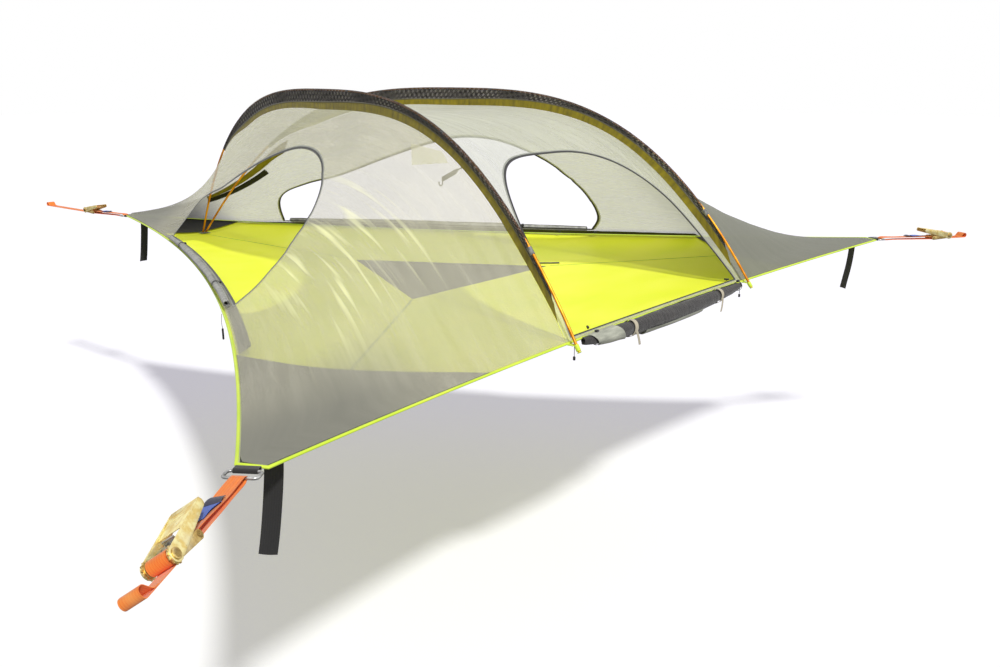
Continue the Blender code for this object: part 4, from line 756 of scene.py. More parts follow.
def cutCloth(outline, hole, step, place, thickness):
    # cloth cut to an outline with an opening, in flat metres
    # place gets the flat point and gives the hanging one
    loops = [outline, hole] if hole else [outline]

    def onCloth(point):
        return insideLoop(point, outline) and not (hole and insideLoop(point, hole))
    points, edges = [], []
    for loop in loops:
        first = len(points)
        points += [Vector((p[0], p[1])) for p in loop]
        edges += [(first + i, first + (i + 1) % len(loop)) for i in range(len(loop))]
    low, high = [[limit(p[i] for p in outline) for i in (0, 1)] for limit in (min, max)]
    columns, rows = [int((high[i] - low[i]) / step[i]) + 1 for i in (0, 1)]
    clear = min(step) * 0.55
    for i in range(columns + 1):
        for j in range(rows + 1):
            x, y = low[0] + step[0] * i, low[1] + step[1] * (j + 0.5 * (i % 2))
            if not onCloth((x, y)):
                continue
            if any(abs(a[0] - x) < clear and abs(a[1] - y) < clear for loop in loops for a in loop):
                continue
            points.append(Vector((x, y)))
    found, _, faces, _, _, _ = delaunay_2d_cdt(points, edges, [], 0, 1e-6)
    kept = [face for face in faces if onCloth(sum((found[i] for i in face), Vector((0, 0))) / len(face))]
    mesh = bpy.data.meshes.new("cloth")
    mesh.from_pydata([(p.x, p.y, 0) for p in found], [], kept)
    piece = bpy.data.objects.new("cloth", mesh)
    bpy.context.scene.collection.objects.link(piece)
    marks = mesh.uv_layers.new(name="UVMap")
    for face in mesh.polygons:
        for corner in face.loop_indices:
            marks.data[corner].uv = found[mesh.loops[corner].vertex_index]
    for point in mesh.vertices:
        point.co = hang + place(point.co.x, point.co.y)
    pick(piece)
    bpy.ops.object.mode_set(mode="EDIT")
    bpy.ops.mesh.select_all(action="SELECT")
    bpy.ops.mesh.delete_loose()
    bpy.ops.object.mode_set(mode="OBJECT")
    thicken(piece, thickness, False)
    smoothFaces(piece, 50)


def pullTube(points, radius, closed=False, sides=3, radii=None):
    # a round line through points in the tent's own metres
    curve = bpy.data.curves.new("line", "CURVE")
    curve.dimensions = "3D"
    curve.bevel_depth = radius
    curve.bevel_resolution = sides
    curve.use_fill_caps = not closed
    line = curve.splines.new("POLY")
    line.points.add(len(points) - 1)
    line.use_cyclic_u = closed
    line.use_smooth = True
    for i, place in enumerate(points):
        line.points[i].co = (*(hang + Vector(place)), 1.0)
        line.points[i].radius = radii[i] if radii else 1.0
    piece = bpy.data.objects.new("line", curve)
    bpy.context.scene.collection.objects.link(piece)
    pick(piece)
    bpy.ops.object.convert(target="MESH")
    return smoothFaces(bpy.context.object, 50)


def boxShape(low, high, bevel, segments=3):
    # a block with softened edges
    deselect()
    middle = [(a + b) / 2 for a, b in zip(low, high)]
    bpy.ops.mesh.primitive_cube_add(size=1, location=middle, scale=[b - a for a, b in zip(low, high)])
    bpy.ops.object.transform_apply(location=True, rotation=True, scale=True)
    soften(bpy.context.object, bevel, segments)
    return smoothFaces(bpy.context.object)


def blobShape(size, place, x, y, z, bevel=0.3):
    # a small toggle or bead
    piece = boxShape([-s / 2 for s in size], [s / 2 for s in size], min(size) * bevel)
    return placed(piece, frameMatrix(place, x, y, z))


def hollowTube(outer, inner, length, rise=0.0):
    # a short tube along z with softened rims
    deselect()
    bpy.ops.mesh.primitive_cylinder_add(vertices=32, radius=outer, depth=length, end_fill_type="NOTHING",
                                        location=(0, 0, rise))
    bpy.ops.object.transform_apply(location=True)
    piece = bpy.context.object
    solid = piece.modifiers.new("wall", "SOLIDIFY")
    solid.thickness = outer - inner
    solid.offset = -1
    soften(piece, (outer - inner) * 0.3, 2)
    return smoothFaces(piece)


def ripple(x, y, seed):
    return noise.noise(Vector((x, y, seed)))


# canopy

wingCloth = {"length": 4.40, "width": 1.10, "step": (0.024, 0.022), "thickness": 0.0008, "outline": (180, 46),
             "fold": 0.0050, "streak": 0.0045, "small": 0.0012, "seed": 3.0}
sideDoor = [(0.266, 0.05), (0.269, 0.43), (0.312, 0.530), (0.375, 0.580), (0.442, 0.665), (0.520, 0.765),
            (0.580, 0.815), (0.637, 0.78), (0.680, 0.66), (0.702, 0.50), (0.707, 0.34), (0.701, 0.18), (0.682, 0.05)]
roofCloth = {"length": 4.10, "width": 1.60, "step": (0.026, 0.026), "thickness": 0.0008, "outline": (150, 56),
             "start": 0.118, "fold": 0.006, "small": 0.0022, "seed": 12.0}
frontDoor = {"top": 0.828, "sill": 0.995, "half": 0.475, "points": 64}
doorStep = {"hole": 0.016, "tape": 0.022}


def sideDoorShares():
    # share of the wing's length, and share down from the crest
    return [(along, 1 - up) for along, up in smoothThrough(sideDoor, 6)]


def frontDoorShares():
    shares = []
    for i in range(frontDoor["points"] + 1):
        turn = math.pi * i / frontDoor["points"]
        across = math.copysign(abs(math.cos(turn)) ** (2 / 3), -math.cos(turn))
        share = frontDoor["sill"] - (frontDoor["sill"] - frontDoor["top"]) * math.sin(turn)
        shares.append((share, 0.5 + frontDoor["half"] * across))
    return shares


def wingHung(side, share, down):
    # the wing with its folds
    s, t = share * wingCloth["length"], down * wingCloth["width"]
    seed = wingCloth["seed"] + side
    hold = math.sin(math.pi * within(down)) ** 0.6 * ease(0.02, 0.16, share) * (1 - ease(0.93, 1.0, share))
    fold = ripple(s * 0.55, t * 2.6, seed) * wingCloth["fold"]
    ridge = 1 - abs(ripple(s * 1.1 + 4, t * 9.0, seed + 9)) * 3.0
    pulled = max(0.0, ridge) * ease(0.50, 0.66, share) * (1 - ease(0.84, 0.95, share))
    pulled *= ease(0.05, 0.25, down) * (1 - ease(0.60, 0.85, down))
    small = ripple(s * 3.2, t * 7.0, seed + 21) * wingCloth["small"]
    lift = (fold + small + pulled * wingCloth["streak"]) * hold
    return wingPoint(side, share, down) + wingOut(side, share, down) * lift


def roofHung(share, across):
    s, t = share * roofCloth["length"], across * roofCloth["width"]
    hold = math.sin(math.pi * within(across)) ** 0.6 * ease(0.14, 0.30, share) * (1 - ease(0.90, 0.99, share))
    lift = ripple(s * 1.2, t * 1.1, roofCloth["seed"]) * roofCloth["fold"]
    lift += ripple(s * 5.0, t * 1.6, roofCloth["seed"] + 5) * roofCloth["small"]
    return roofPoint(share, across) + upwards * (lift * hold)


def doorLoop(cloth, shares, step):
    # a door's outline in the cloth's flat metres
    loop = resample([(a * cloth["length"], b * cloth["width"], 0) for a, b in shares], step, True)
    return [(p.x, p.y) for p in loop]


def hangCloth(cloth, low, shares, hung):
    # a wall or the roof, cut flat with its door
    wide, high = cloth["length"], cloth["width"]
    long_, short = cloth["outline"]
    around = [(wide * mix(low, 1, i / long_), 0.0) for i in range(long_)]
    around += [(wide, high * i / short) for i in range(short)]
    around += [(wide * (1 - (1 - low) * i / long_), high) for i in range(long_)]
    around += [(wide * low, high * (1 - i / short)) for i in range(short)]
    cutCloth(around, doorLoop(cloth, shares, doorStep["hole"]), cloth["step"],
             lambda x, y: hung(min(1.0, x / wide), min(1.0, y / high)), cloth["thickness"])


for side, label in sideOf.items():
    hangCloth(wingCloth, tipShare + 0.0005, sideDoorShares(), lambda a, b: wingHung(side, a, b))
    keep(f"canopy_wall_{label}", f"wall{side}", f"wing_{label}")
hangCloth(roofCloth, roofCloth["start"], frontDoorShares(), roofHung)
keep("canopy_roof", "canopy", "roof_panel")
print("canopy made")


# floor, binding and trim

floorCloth = {"step": (0.036, 0.036), "thickness": 0.0012, "ripple": 0.0016}
binding = {"points": 12, "middle": 0.0020, "rise": 0.0042}
hatchCorners = [Vector((0, 0.74, -0.040)), Vector((-0.47, -0.13, -0.040)), Vector((0.47, -0.13, -0.040))]
seam = {"width": 0.010, "lift": 0.0014, "from": 0.012, "reach": 0.93, "thickness": 0.0006}
cornerCloth = {"front": 1.02, "rear": 0.90, "lift": 0.0060, "liftOver": 0.10, "thickness": 0.0007, "ripple": 0.0018,
               "above": 0.0020}
skirt = {"from": 0.085, "to": 0.805, "base": 0.008, "height": 0.045, "thickness": 0.0007, "back": 0.0024,
         "clear": 0.0080, "wave": 0.0016}


def edgeLoop(sideSteps, frontSteps):
    def shares(cut, steps):
        return [cut + (1 - 2 * cut) * i / steps for i in range(steps + 1)]
    loop = [sideEdge(-1, share) for share in shares(tipShare, sideSteps)]
    loop += [frontEdge(share) for share in shares(frontTipShare, frontSteps)]
    return loop + [sideEdge(1, 1 - share) for share in shares(tipShare, sideSteps)]


def offsetLoop(loop, distance):
    # a closed outline moved inwards, with mitred corners
    moved = []
    for i, place in enumerate(loop):
        first, second = [crossways(run.to_2d().normalized()) for run in
                         (place - loop[i - 1], loop[(i + 1) % len(loop)] - place)]
        mitre = (first + second).normalized()
        moved.append(place + mitre * (distance / max(0.3, mitre.dot(first))))
    return moved


def floorHung(x, y):
    wave = ripple(x * 2.1, y * 2.1, 31.0) + 0.5 * ripple(x * 5.0, y * 4.2, 33.0)
    return Vector((x, y, floorHeight(x, y) + wave * floorCloth["ripple"]))


def makeFloor():
    around = offsetLoop(edgeLoop(110, 100), plan["bindingWidth"] / 2 + 0.0004)
    hole = [a.lerp(b, i / 28) for a, b in zip(hatchCorners, hatchCorners[1:] + hatchCorners[:1]) for i in range(28)]
    cutCloth([(p.x, p.y) for p in around], [(p.x, p.y) for p in hole], floorCloth["step"], floorHung,
             floorCloth["thickness"])
    keep("floor_sheet", "floor", "floor_panel")


def makeBinding():
    # a closed tape round the whole edge, with a rounded section
    loop = edgeLoop(160, 150)
    count, points = len(loop), binding["points"]
    lines = []
    for i in range(points):
        x, z = wheel(1, 360 * i / points)
        swell = min(1, (x ** 4 + z ** 4) ** -0.25)
        rise = Vector((0, 0, binding["middle"] + binding["rise"] * z * swell))
        lines.append([p + rise for p in offsetLoop(loop, plan["bindingWidth"] / 2 * x * swell)])
    layCloth(points, count, lambda u, v: lines[round(u * points) % points][round(v * count) % count], (0.03, 12.6),
             joinEnds=True)
    keep("edge_tape", "neon", "edge_binding")


def makeFloorSeams():
    # three seams from the opening's corners towards the tips
    pieces = []
    for corner, tip in zip(hatchCorners, ("rear", "left", "right")):
        start = corner.to_2d()
        start = start + (tips[tip].to_2d() - start).normalized() * seam["from"]
        end = start.lerp(tips[tip].to_2d(), seam["reach"])
        side = (end - start).orthogonal().normalized()

        def place(u, v):
            point = start.lerp(end, v) + side * ((u - 0.5) * seam["width"])
            return floorHung(point.x, point.y) + upwards * (seam["lift"] * (1 - (2 * u - 1) ** 4 * 0.6))
        pieces.append(layCloth(4, 90, place, (seam["width"], (end - start).length), seam["thickness"]))
    joinPieces(pieces)
    keep("floor_seams", "seam")


def edgesAt(name, distance):
    # the places on the two edges at a distance from a tip
    if name == "rear":
        return [sideEdge(side, distance / sideLength) for side in (-1, 1)]
    side = -1 if name == "left" else 1
    share = distance / plan["frontSpan"]
    return [sideEdge(side, 1 - distance / sideLength), frontEdge(share if side < 0 else 1 - share)]


def cornerLine(name, distance):
    # both ends of a line across a corner
    inset = plan["bindingWidth"] / 2 + 0.0013
    ends = edgesAt(name, distance)
    across = (ends[1] - ends[0]).to_2d().normalized().to_3d()
    slant = max(0.3, (ends[0] - tips[name]).normalized().cross(across).length)
    return [ends[0] + across * (inset / slant), ends[1] - across * (inset / slant)]


def makeCornerPanel(name):
    reach = cornerCloth["rear" if name == "rear" else "front"]

    def place(u, v):
        ends = cornerLine(name, mix(plan["tipCut"], reach, v))
        point = ends[0].lerp(ends[1], u)
        fromEdge = min(u, 1 - u) * (ends[1] - ends[0]).length
        lift = cornerCloth["lift"] * min(1.0, fromEdge / cornerCloth["liftOver"]) + cornerCloth["above"]
        wave = ripple(point.x * 3.4, point.y * 3.4, 47.0) * cornerCloth["ripple"] * min(1.0, fromEdge / 0.06)
        return Vector((point.x, point.y, floorHeight(point.x, point.y) + lift + wave))
    ends = cornerLine(name, reach)
    width = (ends[1] - ends[0]).length
    layCloth(40, 44, place, (width, reach), cornerCloth["thickness"])
    # the rear panel takes a darker black than the two front ones, as painted shade
    piece = keep(f"corner_cloth_{name}", "deepBlackAndShade" if name == "rear" else "black",
                 f"corner_panel_{name}")


def makeSkirt(side, label):
    def place(u, v):
        share = mix(skirt["from"], skirt["to"], v)
        down = 1 - skirt["base"] - skirt["height"] * u * ease(-0.02, 0.06, v)
        wave = abs(ripple(v * 46, u * 1.5, 51.0 + side)) * skirt["wave"] * u
        return wingPoint(side, share, down) - wingOut(side, share, down) * (skirt["back"] + skirt["clear"] * u + wave)
    length = (sideEdge(side, skirt["to"]) - sideEdge(side, skirt["from"])).length
    layCloth(5, 150, place, (skirt["height"], length), skirt["thickness"])
    piece = keep(f"wall_skirt_{label}", "deepBlackAndShade", f"skirt_{label}")


makeFloor()
makeBinding()
makeFloorSeams()
for name in tips:
    makeCornerPanel(name)
for side, label in sideOf.items():
    makeSkirt(side, label)
print("floor made")


# floor hatch

hatch = {"seamGap": 0.0005, "cut": 0.0040, "thickness": 0.0014, "edgeStep": 0.030, "wave": 0.0010,
         "zipInset": 0.035, "zipEnd": 0.19, "zipLevel": -0.0390, "slider": (0.030, 0.012, 0.006), "tabLength": 0.060,
         "tabWidth": 0.008}
strapEnd = {"start": Vector((0.490, -0.045, 0)), "run": Vector((0.64, -0.77, 0)).normalized(), "size": (0.025, 0.115),
            "lift": 0.0030, "wave": 0.0016, "thickness": 0.0014}


def hatchFrame():
    # the flap's own corners, then the zip's start and direction
    inset = offsetLoop(hatchCorners, hatch["seamGap"])
    rear, _, right = inset
    run = (rear - right).normalized()
    inward = inwardOf(run, right)
    start = right + run * (hatch["slider"][0] + hatch["tabLength"]) + inward * hatch["zipInset"]
    return inset, start, run, inward


def makeHatch():
    (rear, left, right), start, run, inward = hatchFrame()
    corners = [rear]
    for corner, others in ((left, (rear, right)), (right, (left, rear))):
        corners += [corner + (other - corner).normalized() * hatch["cut"] for other in others]
    outline = []
    for a, b in zip(corners, corners[1:] + corners[:1]):
        count = max(1, round((b - a).length / hatch["edgeStep"]))
        outline += [tuple(a.lerp(b, i / count).to_2d()) for i in range(count)]
    cutCloth(outline, None, (0.026, 0.026), lambda x, y: Vector((x, y, -0.0404 - abs(ripple(x * 6, y * 6, 61.0))
                                                                * hatch["wave"])), hatch["thickness"])
    piece = keep("hatch_cloth", "black", "hatch_flap", "hatch")
    # zip along the right side, with the slider's path on it
    along = (rear - right).length - hatch["zipEnd"]
    for name, columns, rows, width, lift, finish, slot in (
            ("tape", 4, 60, 0.026, 0.0005, "blackWebbing", "black_cloth"),
            ("teeth", 3, 90, 0.0055, 0.0008, "zipTeeth", "black_plastic")):
        def place(u, v):
            point = start + run * (along * v - 0.052) + inward * ((u - 0.5) * width)
            return Vector((point.x, point.y, hatch["zipLevel"] + lift * (1 - (2 * u - 1) ** 4) - 0.0004))
        layCloth(columns, rows, place, (width, along), 0.0003)
        keep(f"hatch_zip_{name}", finish, body="hatch")


def makeSlider():
    _, start, run, _ = hatchFrame()
    length, width, height = hatch["slider"]
    reach, tab = length / 2 + hatch["tabLength"] / 2, hatch["tabWidth"] / 2
    parts = [boxShape((-length / 2, -width / 2, 0.0004), (length / 2, width / 2, height * 0.45), 0.0010),
             boxShape((-length * 0.34, -width * 0.36, height * 0.40), (length * 0.38, width * 0.36, height), 0.0014),
             boxShape((-reach, -tab, 0.0012), (-length * 0.30, tab, 0.0030), 0.0008),
             boxShape((-reach, -0.0030, 0.0026), (-reach + 0.020, 0.0030, 0.0036), 0.0006)]
    placed(joinPieces(parts), frameMatrix(Vector((start.x, start.y, hatch["zipLevel"])), run, crossways(run), upwards))
    keep("zip_slider", "blackPlastic", "hatch_slider", "slider")


def makeStrapEnd():
    # on the floor beside the opening's right corner
    run, (width, length) = strapEnd["run"], strapEnd["size"]

    def place(u, v):
        point = strapEnd["start"] + run * (length * v) + crossways(run) * ((u - 0.5) * width)
        rise = strapEnd["lift"] + abs(strapEnd["wave"] * math.sin(v * 5.0) * v)
        return Vector((point.x, point.y, floorHeight(point.x, point.y) + rise))
    layCloth(5, 20, place, (width, length), strapEnd["thickness"])
    keep("hatch_tab", "blackWebbing")


makeHatch()
makeSlider()
makeStrapEnd()
print("hatch made")


# poles, sleeves, clips and seats

pole = {"steps": 150, "joints": (0.18, 0.38, 0.58, 0.78), "jointLength": 0.018, "jointRise": 0.0004}
sleeve = {"split": 0.60, "lower": 0.48, "meshEnd": 0.955, "bandEnd": 0.9575, "length": 3.3, "thickness": 0.0006,
          "netThickness": 0.0004, "flank": 0.0060, "hem": 0.0009, "hemEnd": 0.9245, "seam": (0.0030, 0.0014)}
clip = {"share": 0.30, "length": 0.030, "lip": 0.004, "lipAt": 0.012}
footSeat = {"cup": 0.0055 + 0.0004, "wall": 0.0025, "height": 0.030, "tongue": 0.025}
rearRim = {"radius": 0.0078, "wire": 0.0008}


def makePole(side, label):
    pullTube([polePoint(side, i / pole["steps"]) for i in range(pole["steps"] + 1)], arch["radius"], sides=4)
    keep(f"arch_pole_{label}", "pole", f"pole_{label}")
    rings = []
    for share in pole["joints"]:
        middle = polePoint(side, share)
        half = (polePoint(side, share + 0.002) - polePoint(side, share - 0.002)).normalized() * pole["jointLength"] / 2
        rings.append(pullTube([middle + half * reach for reach in (-1, -0.96, 0.96, 1)],
                              arch["radius"] + pole["jointRise"], radii=[0.96, 1, 1, 0.96]))
    joinPieces(rings)
    keep(f"pole_joints_{label}", "steel")


def finLine(side, share):
    # the pole's place, the way down to the crest, its length, the sideways normal and where netting meets cloth
    top = polePoint(side, share)
    crest = crestPoint(side, wingShare(share))
    away, reach = (crest - top).normalized(), (crest - top).length
    tangent = (polePoint(side, min(1, share + 0.002)) - polePoint(side, share - 0.002)).normalized()
    near = (arch["radius"] + 0.0006) / away.dot(-finDirection(side, share))
    split = near + (reach - near) * sleeve["split"] * (1 - sleeve["lower"] * ease(0.45, 0.80, share))
    return top, away, reach, tangent.cross(away).normalized(), split


def makeSleeve(side, label):
    def layBand(columns, rows, width, end, shape, thickness=None, joinEnds=False):
        # shape gives the way down from the pole and the way across
        def place(u, v):
            top, away, reach, across, split = finLine(side, mix(fin["start"], end, v))
            down, aside = shape(u, v, reach, split)
            return top + away * down + across * aside
        return layCloth(columns, rows, place, (width, sleeve["length"]), thickness, joinEnds)

    def netting(flank):
        def shape(u, v, reach, split):
            wave = abs(ripple(v * 30, u * 2, 71.0 + flank + side)) * 0.0010 * math.sin(math.pi * u)
            return split * mix(0.04, 1, u), flank * (sleeve["flank"] * (1 - u) ** 1.6 + 0.0005 + wave)
        return shape

    def band(u, v, reach, split):
        wave = ripple(v * 34, u * 1.5, 75.0 + side) * 0.0016 * math.sin(math.pi * u)
        return split + (reach - split - 0.0006) * u, wave

    def seamLine(u, v, reach, split):
        down, aside = sleeve["seam"]
        return split + down * math.cos(2 * math.pi * u), aside * math.sin(2 * math.pi * u)

    def tunnel(u, v, reach, split):
        # the netting that the pole runs in
        radius = arch["radius"] + sleeve["hem"] + abs(ripple(v * 60, u * 3, 77.0 + side)) * 0.0006
        return wheel(radius, 360 * u)

    joinPieces([layBand(7, 150, 0.060, sleeve["meshEnd"], netting(flank), sleeve["netThickness"]) for flank in (-1, 1)])
    net = keep(f"sleeve_net_{label}", "mesh", f"sleeve_mesh_{label}")
    layBand(8, 170, 0.045, sleeve["bandEnd"], band, sleeve["thickness"])
    cloth = keep(f"sleeve_cloth_{label}", "olive", f"sleeve_band_{label}")
    layBand(8, 150, 0.012, sleeve["meshEnd"], seamLine, joinEnds=True)
    keep(f"sleeve_seam_{label}", "seamGrey")
    layBand(12, 200, 0.040, sleeve["hemEnd"], tunnel, joinEnds=True)
    hem = keep(f"sleeve_hem_{label}", "hem")


def makeClip(side, label):
    upper, lower = [polePoint(side, mix(fin["start"], 1, i / 20)) for i in (18, 19)]
    parts = [hollowTube(arch["radius"] + 0.0036, arch["radius"] + 0.0009, clip["length"])]
    parts += [hollowTube(arch["radius"] + 0.0042, arch["radius"] + 0.0010, clip["lip"], rise)
              for rise in (-clip["lipAt"], clip["lipAt"])]
    placed(joinPieces(parts), upMatrix(upper.lerp(lower, clip["share"]), (upper - lower).normalized()))
    keep(f"pole_clip_{label}", "greyPlastic", f"sleeve_clip_{label}")


def makeFootSeat(side, label):
    foot = polePoint(side, 1.0)
    up = (polePoint(side, mix(fin["start"], 1, 0.95)) - foot).normalized()
    outer = footSeat["cup"] + footSeat["wall"]
    cup = joinPieces([hollowTube(outer, footSeat["cup"], footSeat["height"] * 0.8, footSeat["height"] * 0.5),
                      hollowTube(outer, 0.0004, 0.0030, -0.0018)])
    placed(cup, upMatrix(foot, up))
    edge = frontEdge(footShare[side])
    level = edge.z - 0.0010
    rise = (level - foot.z) / up.z
    start = Vector((foot.x + up.x * rise, foot.y + up.y * rise + footSeat["cup"] + 0.0012, level))
    end = Vector((foot.x, edge.y - plan["bindingWidth"] / 2 - 0.0004, level))
    tabs = []
    for lift, wide in ((0.0007, 1.0), (-0.0007, 0.92)):
        def place(u, v):
            aside = (u - 0.5) * footSeat["tongue"] * wide
            return start.lerp(end, v) + Vector((aside, 0, lift + 0.0006 * math.sin(math.pi * v)))
        tabs.append(layCloth(5, 10, place, (footSeat["tongue"], 0.05), 0.0010))
    joinPieces([cup] + tabs)
    keep(f"foot_loop_{label}", "neon", f"pole_seat_{label}")


def makeRearSeat():
    low, high = [Vector(c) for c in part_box("pole_seat_rear")]
    parts = [boxShape(low, high, 0.0010)]
    for x in (-arch["rearX"], arch["rearX"]):
        middle = Vector((x, arch["rearY"], high.z - hang.z + 0.0002))
        rim = [middle + Vector((*wheel(rearRim["radius"], 15 * i), 0.0004)) for i in range(24)]
        parts.append(pullTube(rim, rearRim["wire"], True))
    joinPieces(parts)
    keep("rear_seat", "greyPlastic", "pole_seat_rear")


for side, label in sideOf.items():
    makePole(side, label)
    makeSleeve(side, label)
    makeClip(side, label)
    makeFootSeat(side, label)
makeRearSeat()
print("poles made")


# door edges: grey tape on the cloth and a dark zip inside it

doorEdge = {"tape": 0.0075, "zip": 0.0110, "lift": 0.0011, "thickness": 0.0007}


def edgeTape(name, cloth, loop, hung, inner, outer, lift, finish):
    # a band beside a door's outline: inner and outer are distances from it, in flat metres
    count = len(loop)
    loop = [Vector(p) for p in loop]
    turned = sum(a.cross(b) for a, b in zip(loop, loop[1:] + loop[:1]))
    normals = []
    for i in range(count):
        run = (loop[(i + 1) % count] - loop[i - 1]).normalized()
        normals.append(Vector((run.y, -run.x)) * math.copysign(1, turned))

    def place(u, v):
        i = round(v * count) % count
        point = loop[i] + normals[i] * mix(inner, outer, u)
        return hung(within(point.x / cloth["length"]), within(point.y / cloth["width"]), lift)
    layCloth(4, count, place, (abs(outer - inner), lengthOf(loop + loop[:1])), doorEdge["thickness"], True)
    keep(name, finish)


def wingLifted(side):
    return lambda a, b, lift: wingHung(side, a, b) + wingOut(side, a, b) * lift


def roofLifted(a, b, lift):
    return roofHung(a, b) + Vector((0, 0, lift))


for label, cloth, shares, hung in (("left", wingCloth, sideDoorShares(), wingLifted(-1)),
                                   ("right", wingCloth, sideDoorShares(), wingLifted(1)),
                                   ("front", roofCloth, frontDoorShares(), roofLifted)):
    loop = doorLoop(cloth, shares, doorStep["tape"])
    edgeTape(f"door_tape_{label}", cloth, loop, hung, 0.0005, doorEdge["tape"], doorEdge["lift"], "greyTape")
    edgeTape(f"door_zip_{label}", cloth, loop, hung, -doorEdge["zip"], 0.0008, 0.0002, "zipTeeth")
print("door edges made")


# rolled doors and their ties

sideRoll = {"from": 0.275, "to": 0.672, "down": 0.97, "radius": 0.021, "clear": 0.00215, "turns": 2.3, "gap": 0.0042,
            "wrinkle": 0.0026, "length": 1.30, "ties": (0.352, 0.591), "tieWidth": 0.012,
            "toggle": (0.030, 0.009, 0.008), "cord": 0.056, "cordWidth": 0.0022, "cordEnd": (0.0070, 0.0070, 0.044)}
frontRoll = {"half": 0.600, "radius": 0.036, "end": 0.016, "drop": 0.012, "clear": 0.0055, "turns": 2.6, "gap": 0.0048,
             "wrinkle": 0.0040, "length": 1.20, "ties": (-0.31, 0.377), "tieWidth": 0.020, "tails": (0.020, -0.016),
             "tail": (0.014, 0.055), "knots": (-0.526, 0.600), "lining": 0.52}


def rollFrame(line, v):
    # a place on a roll's middle line, then its three directions
    near = 0.004
    run = (line(min(1, v + near)) - line(max(0, v - near))).normalized()
    side = run.cross(upwards).normalized()
    return line(v), run, side, side.cross(run)


def sideRollSize(v):
    return sideRoll["radius"] * (0.72 + 0.28 * math.sin(math.pi * v))


def sideRollLine(side):
    def line(v):
        share = mix(sideRoll["from"], sideRoll["to"], v)
        out = wingOut(side, share, sideRoll["down"])
        return wingPoint(side, share, sideRoll["down"]) + out * (sideRollSize(v) + sideRoll["clear"])
    return line


def frontSwell(v):
    return math.sin(math.pi * v) ** 0.6 if 0 < v < 1 else 0.0


def frontRollSize(v):
    return mix(frontRoll["end"], frontRoll["radius"], frontSwell(v))


def frontRollLine(v):
    x = frontRoll["half"] * (2 * v - 1)
    edge = frontEdge(0.5 + x / plan["frontSpan"])
    return Vector((x, edge.y - frontRoll["clear"] - frontRollSize(v), edge.z - frontRoll["drop"] * frontSwell(v)))


def frontPlace(x):
    return (x / frontRoll["half"] + 1) / 2


def onRoll(frame, radius, turn):
    middle, _, side, over = frame
    return middle + side * (radius * math.cos(turn)) + over * (radius * math.sin(turn))


def makeRoll(name, roll, line, size, seed, first, pinches, finish, replaces):
    # cloth wound round itself, loose and wrinkled, pinched where it is tied
    turns, length = roll["turns"], roll["length"]

    def place(u, v):
        frame = rollFrame(line, v)
        turn = first + 2 * math.pi * turns * u
        pinch = 1 - 0.10 * max(math.exp(-((v - at) * length / 0.018) ** 2) for at in pinches)
        crease = ripple(v * length * 3.0 + math.cos(turn) * 0.8, math.sin(turn) * 0.8 + u * 1.7, seed)
        twist = abs(ripple(v * length * 7.0 + turn * 0.45, turn * 0.9, seed + 7.0))
        loose = (crease * 0.9 - twist * 1.5) * roll["wrinkle"]
        radius = size(v) * 0.93 * pinch - roll["gap"] * turns * u * 0.8 + loose * (1 - 0.5 * u)
        slide = ripple(turn * 0.5, u * 2.0, seed + 13) * 0.010 * (abs(2 * v - 1) ** 6)
        return onRoll(frame, max(0.0016, radius), turn) + frame[1] * slide
    layCloth(int(30 * turns), max(60, int(length / 0.012)), place,
             (2 * math.pi * turns * size(0.5) * 0.7, length), 0.0007)
    piece = keep(name, finish, replaces)


def tieBand(line, size, v, width, lift, tilt, thickness=0.0012, squash=1.0):
    # a band round a roll
    length = (line(1) - line(0)).length

    def place(u, w):
        turn = 2 * math.pi * w
        at = v + ((u - 0.5) * width + math.sin(turn) * tilt) / length
        return onRoll(rollFrame(line, at), size(at) * squash + lift, turn)
    return layCloth(4, 48, place, (width, 0.14), thickness, True)


def hangCord(name, places, diameter, finish, length=None, replaces=None):
    # a free cord, given by the places it passes
    piece = pullTube(places, diameter / 2)
    keep(name, finish, replaces)
    length or round(lengthOf(places), 4)
    tuple(hang + places[0])
    [tuple(hang + p) for p in places]


def makeSideRoll(side, label):
    line = sideRollLine(side)
    span = sideRoll["to"] - sideRoll["from"]
    pinches = [(tie - sideRoll["from"]) / span for tie in sideRoll["ties"]]
    makeRoll(f"rolled_door_{label}", sideRoll, line, sideRollSize, 81.0 + side, 1.9 if side < 0 else 1.2, pinches,
             "greyRoll", f"door_roll_{label}")
    ties = [tieBand(line, sideRollSize, at, sideRoll["tieWidth"], -0.0002, 0.004, squash=0.92) for at in pinches]
    for at in pinches:
        middle, run, along, over = rollFrame(line, at)
        inward = -along if along.dot(middle - centre) > 0 else along
        place = middle + inward * (sideRollSize(at) * 0.80 + 0.004) + over * (sideRollSize(at) * 0.55)
        ties.append(blobShape(sideRoll["toggle"], place, run, over, run.cross(over)))
    joinPieces(ties)
    keep(f"roll_ties_{label}", "blackWebbing")
    # a cord with a black end hangs below the last tie
    edge = sideEdge(side, sideRoll["to"] - 0.018)
    away = (edge - centre).to_2d().normalized().to_3d()
    top = edge + away * 0.0075 + Vector((0, 0, -0.004))
    places = [top - upwards * (sideRoll["cord"] * i / 12) + away * (0.003 * math.sin(0.25 * i)) for i in range(13)]
    places = resample(smoothThrough([tuple(p) for p in places], 6), 0.006)
    hangCord(f"door_cord_{label}", places, sideRoll["cordWidth"], "greyCloth")
    blobShape(sideRoll["cordEnd"], places[-1] - Vector((0, 0, sideRoll["cordEnd"][2] / 2)), (1, 0, 0), (0, 1, 0),
              upwards, 0.4)
    keep(f"door_cord_end_{label}", "blackPlastic")


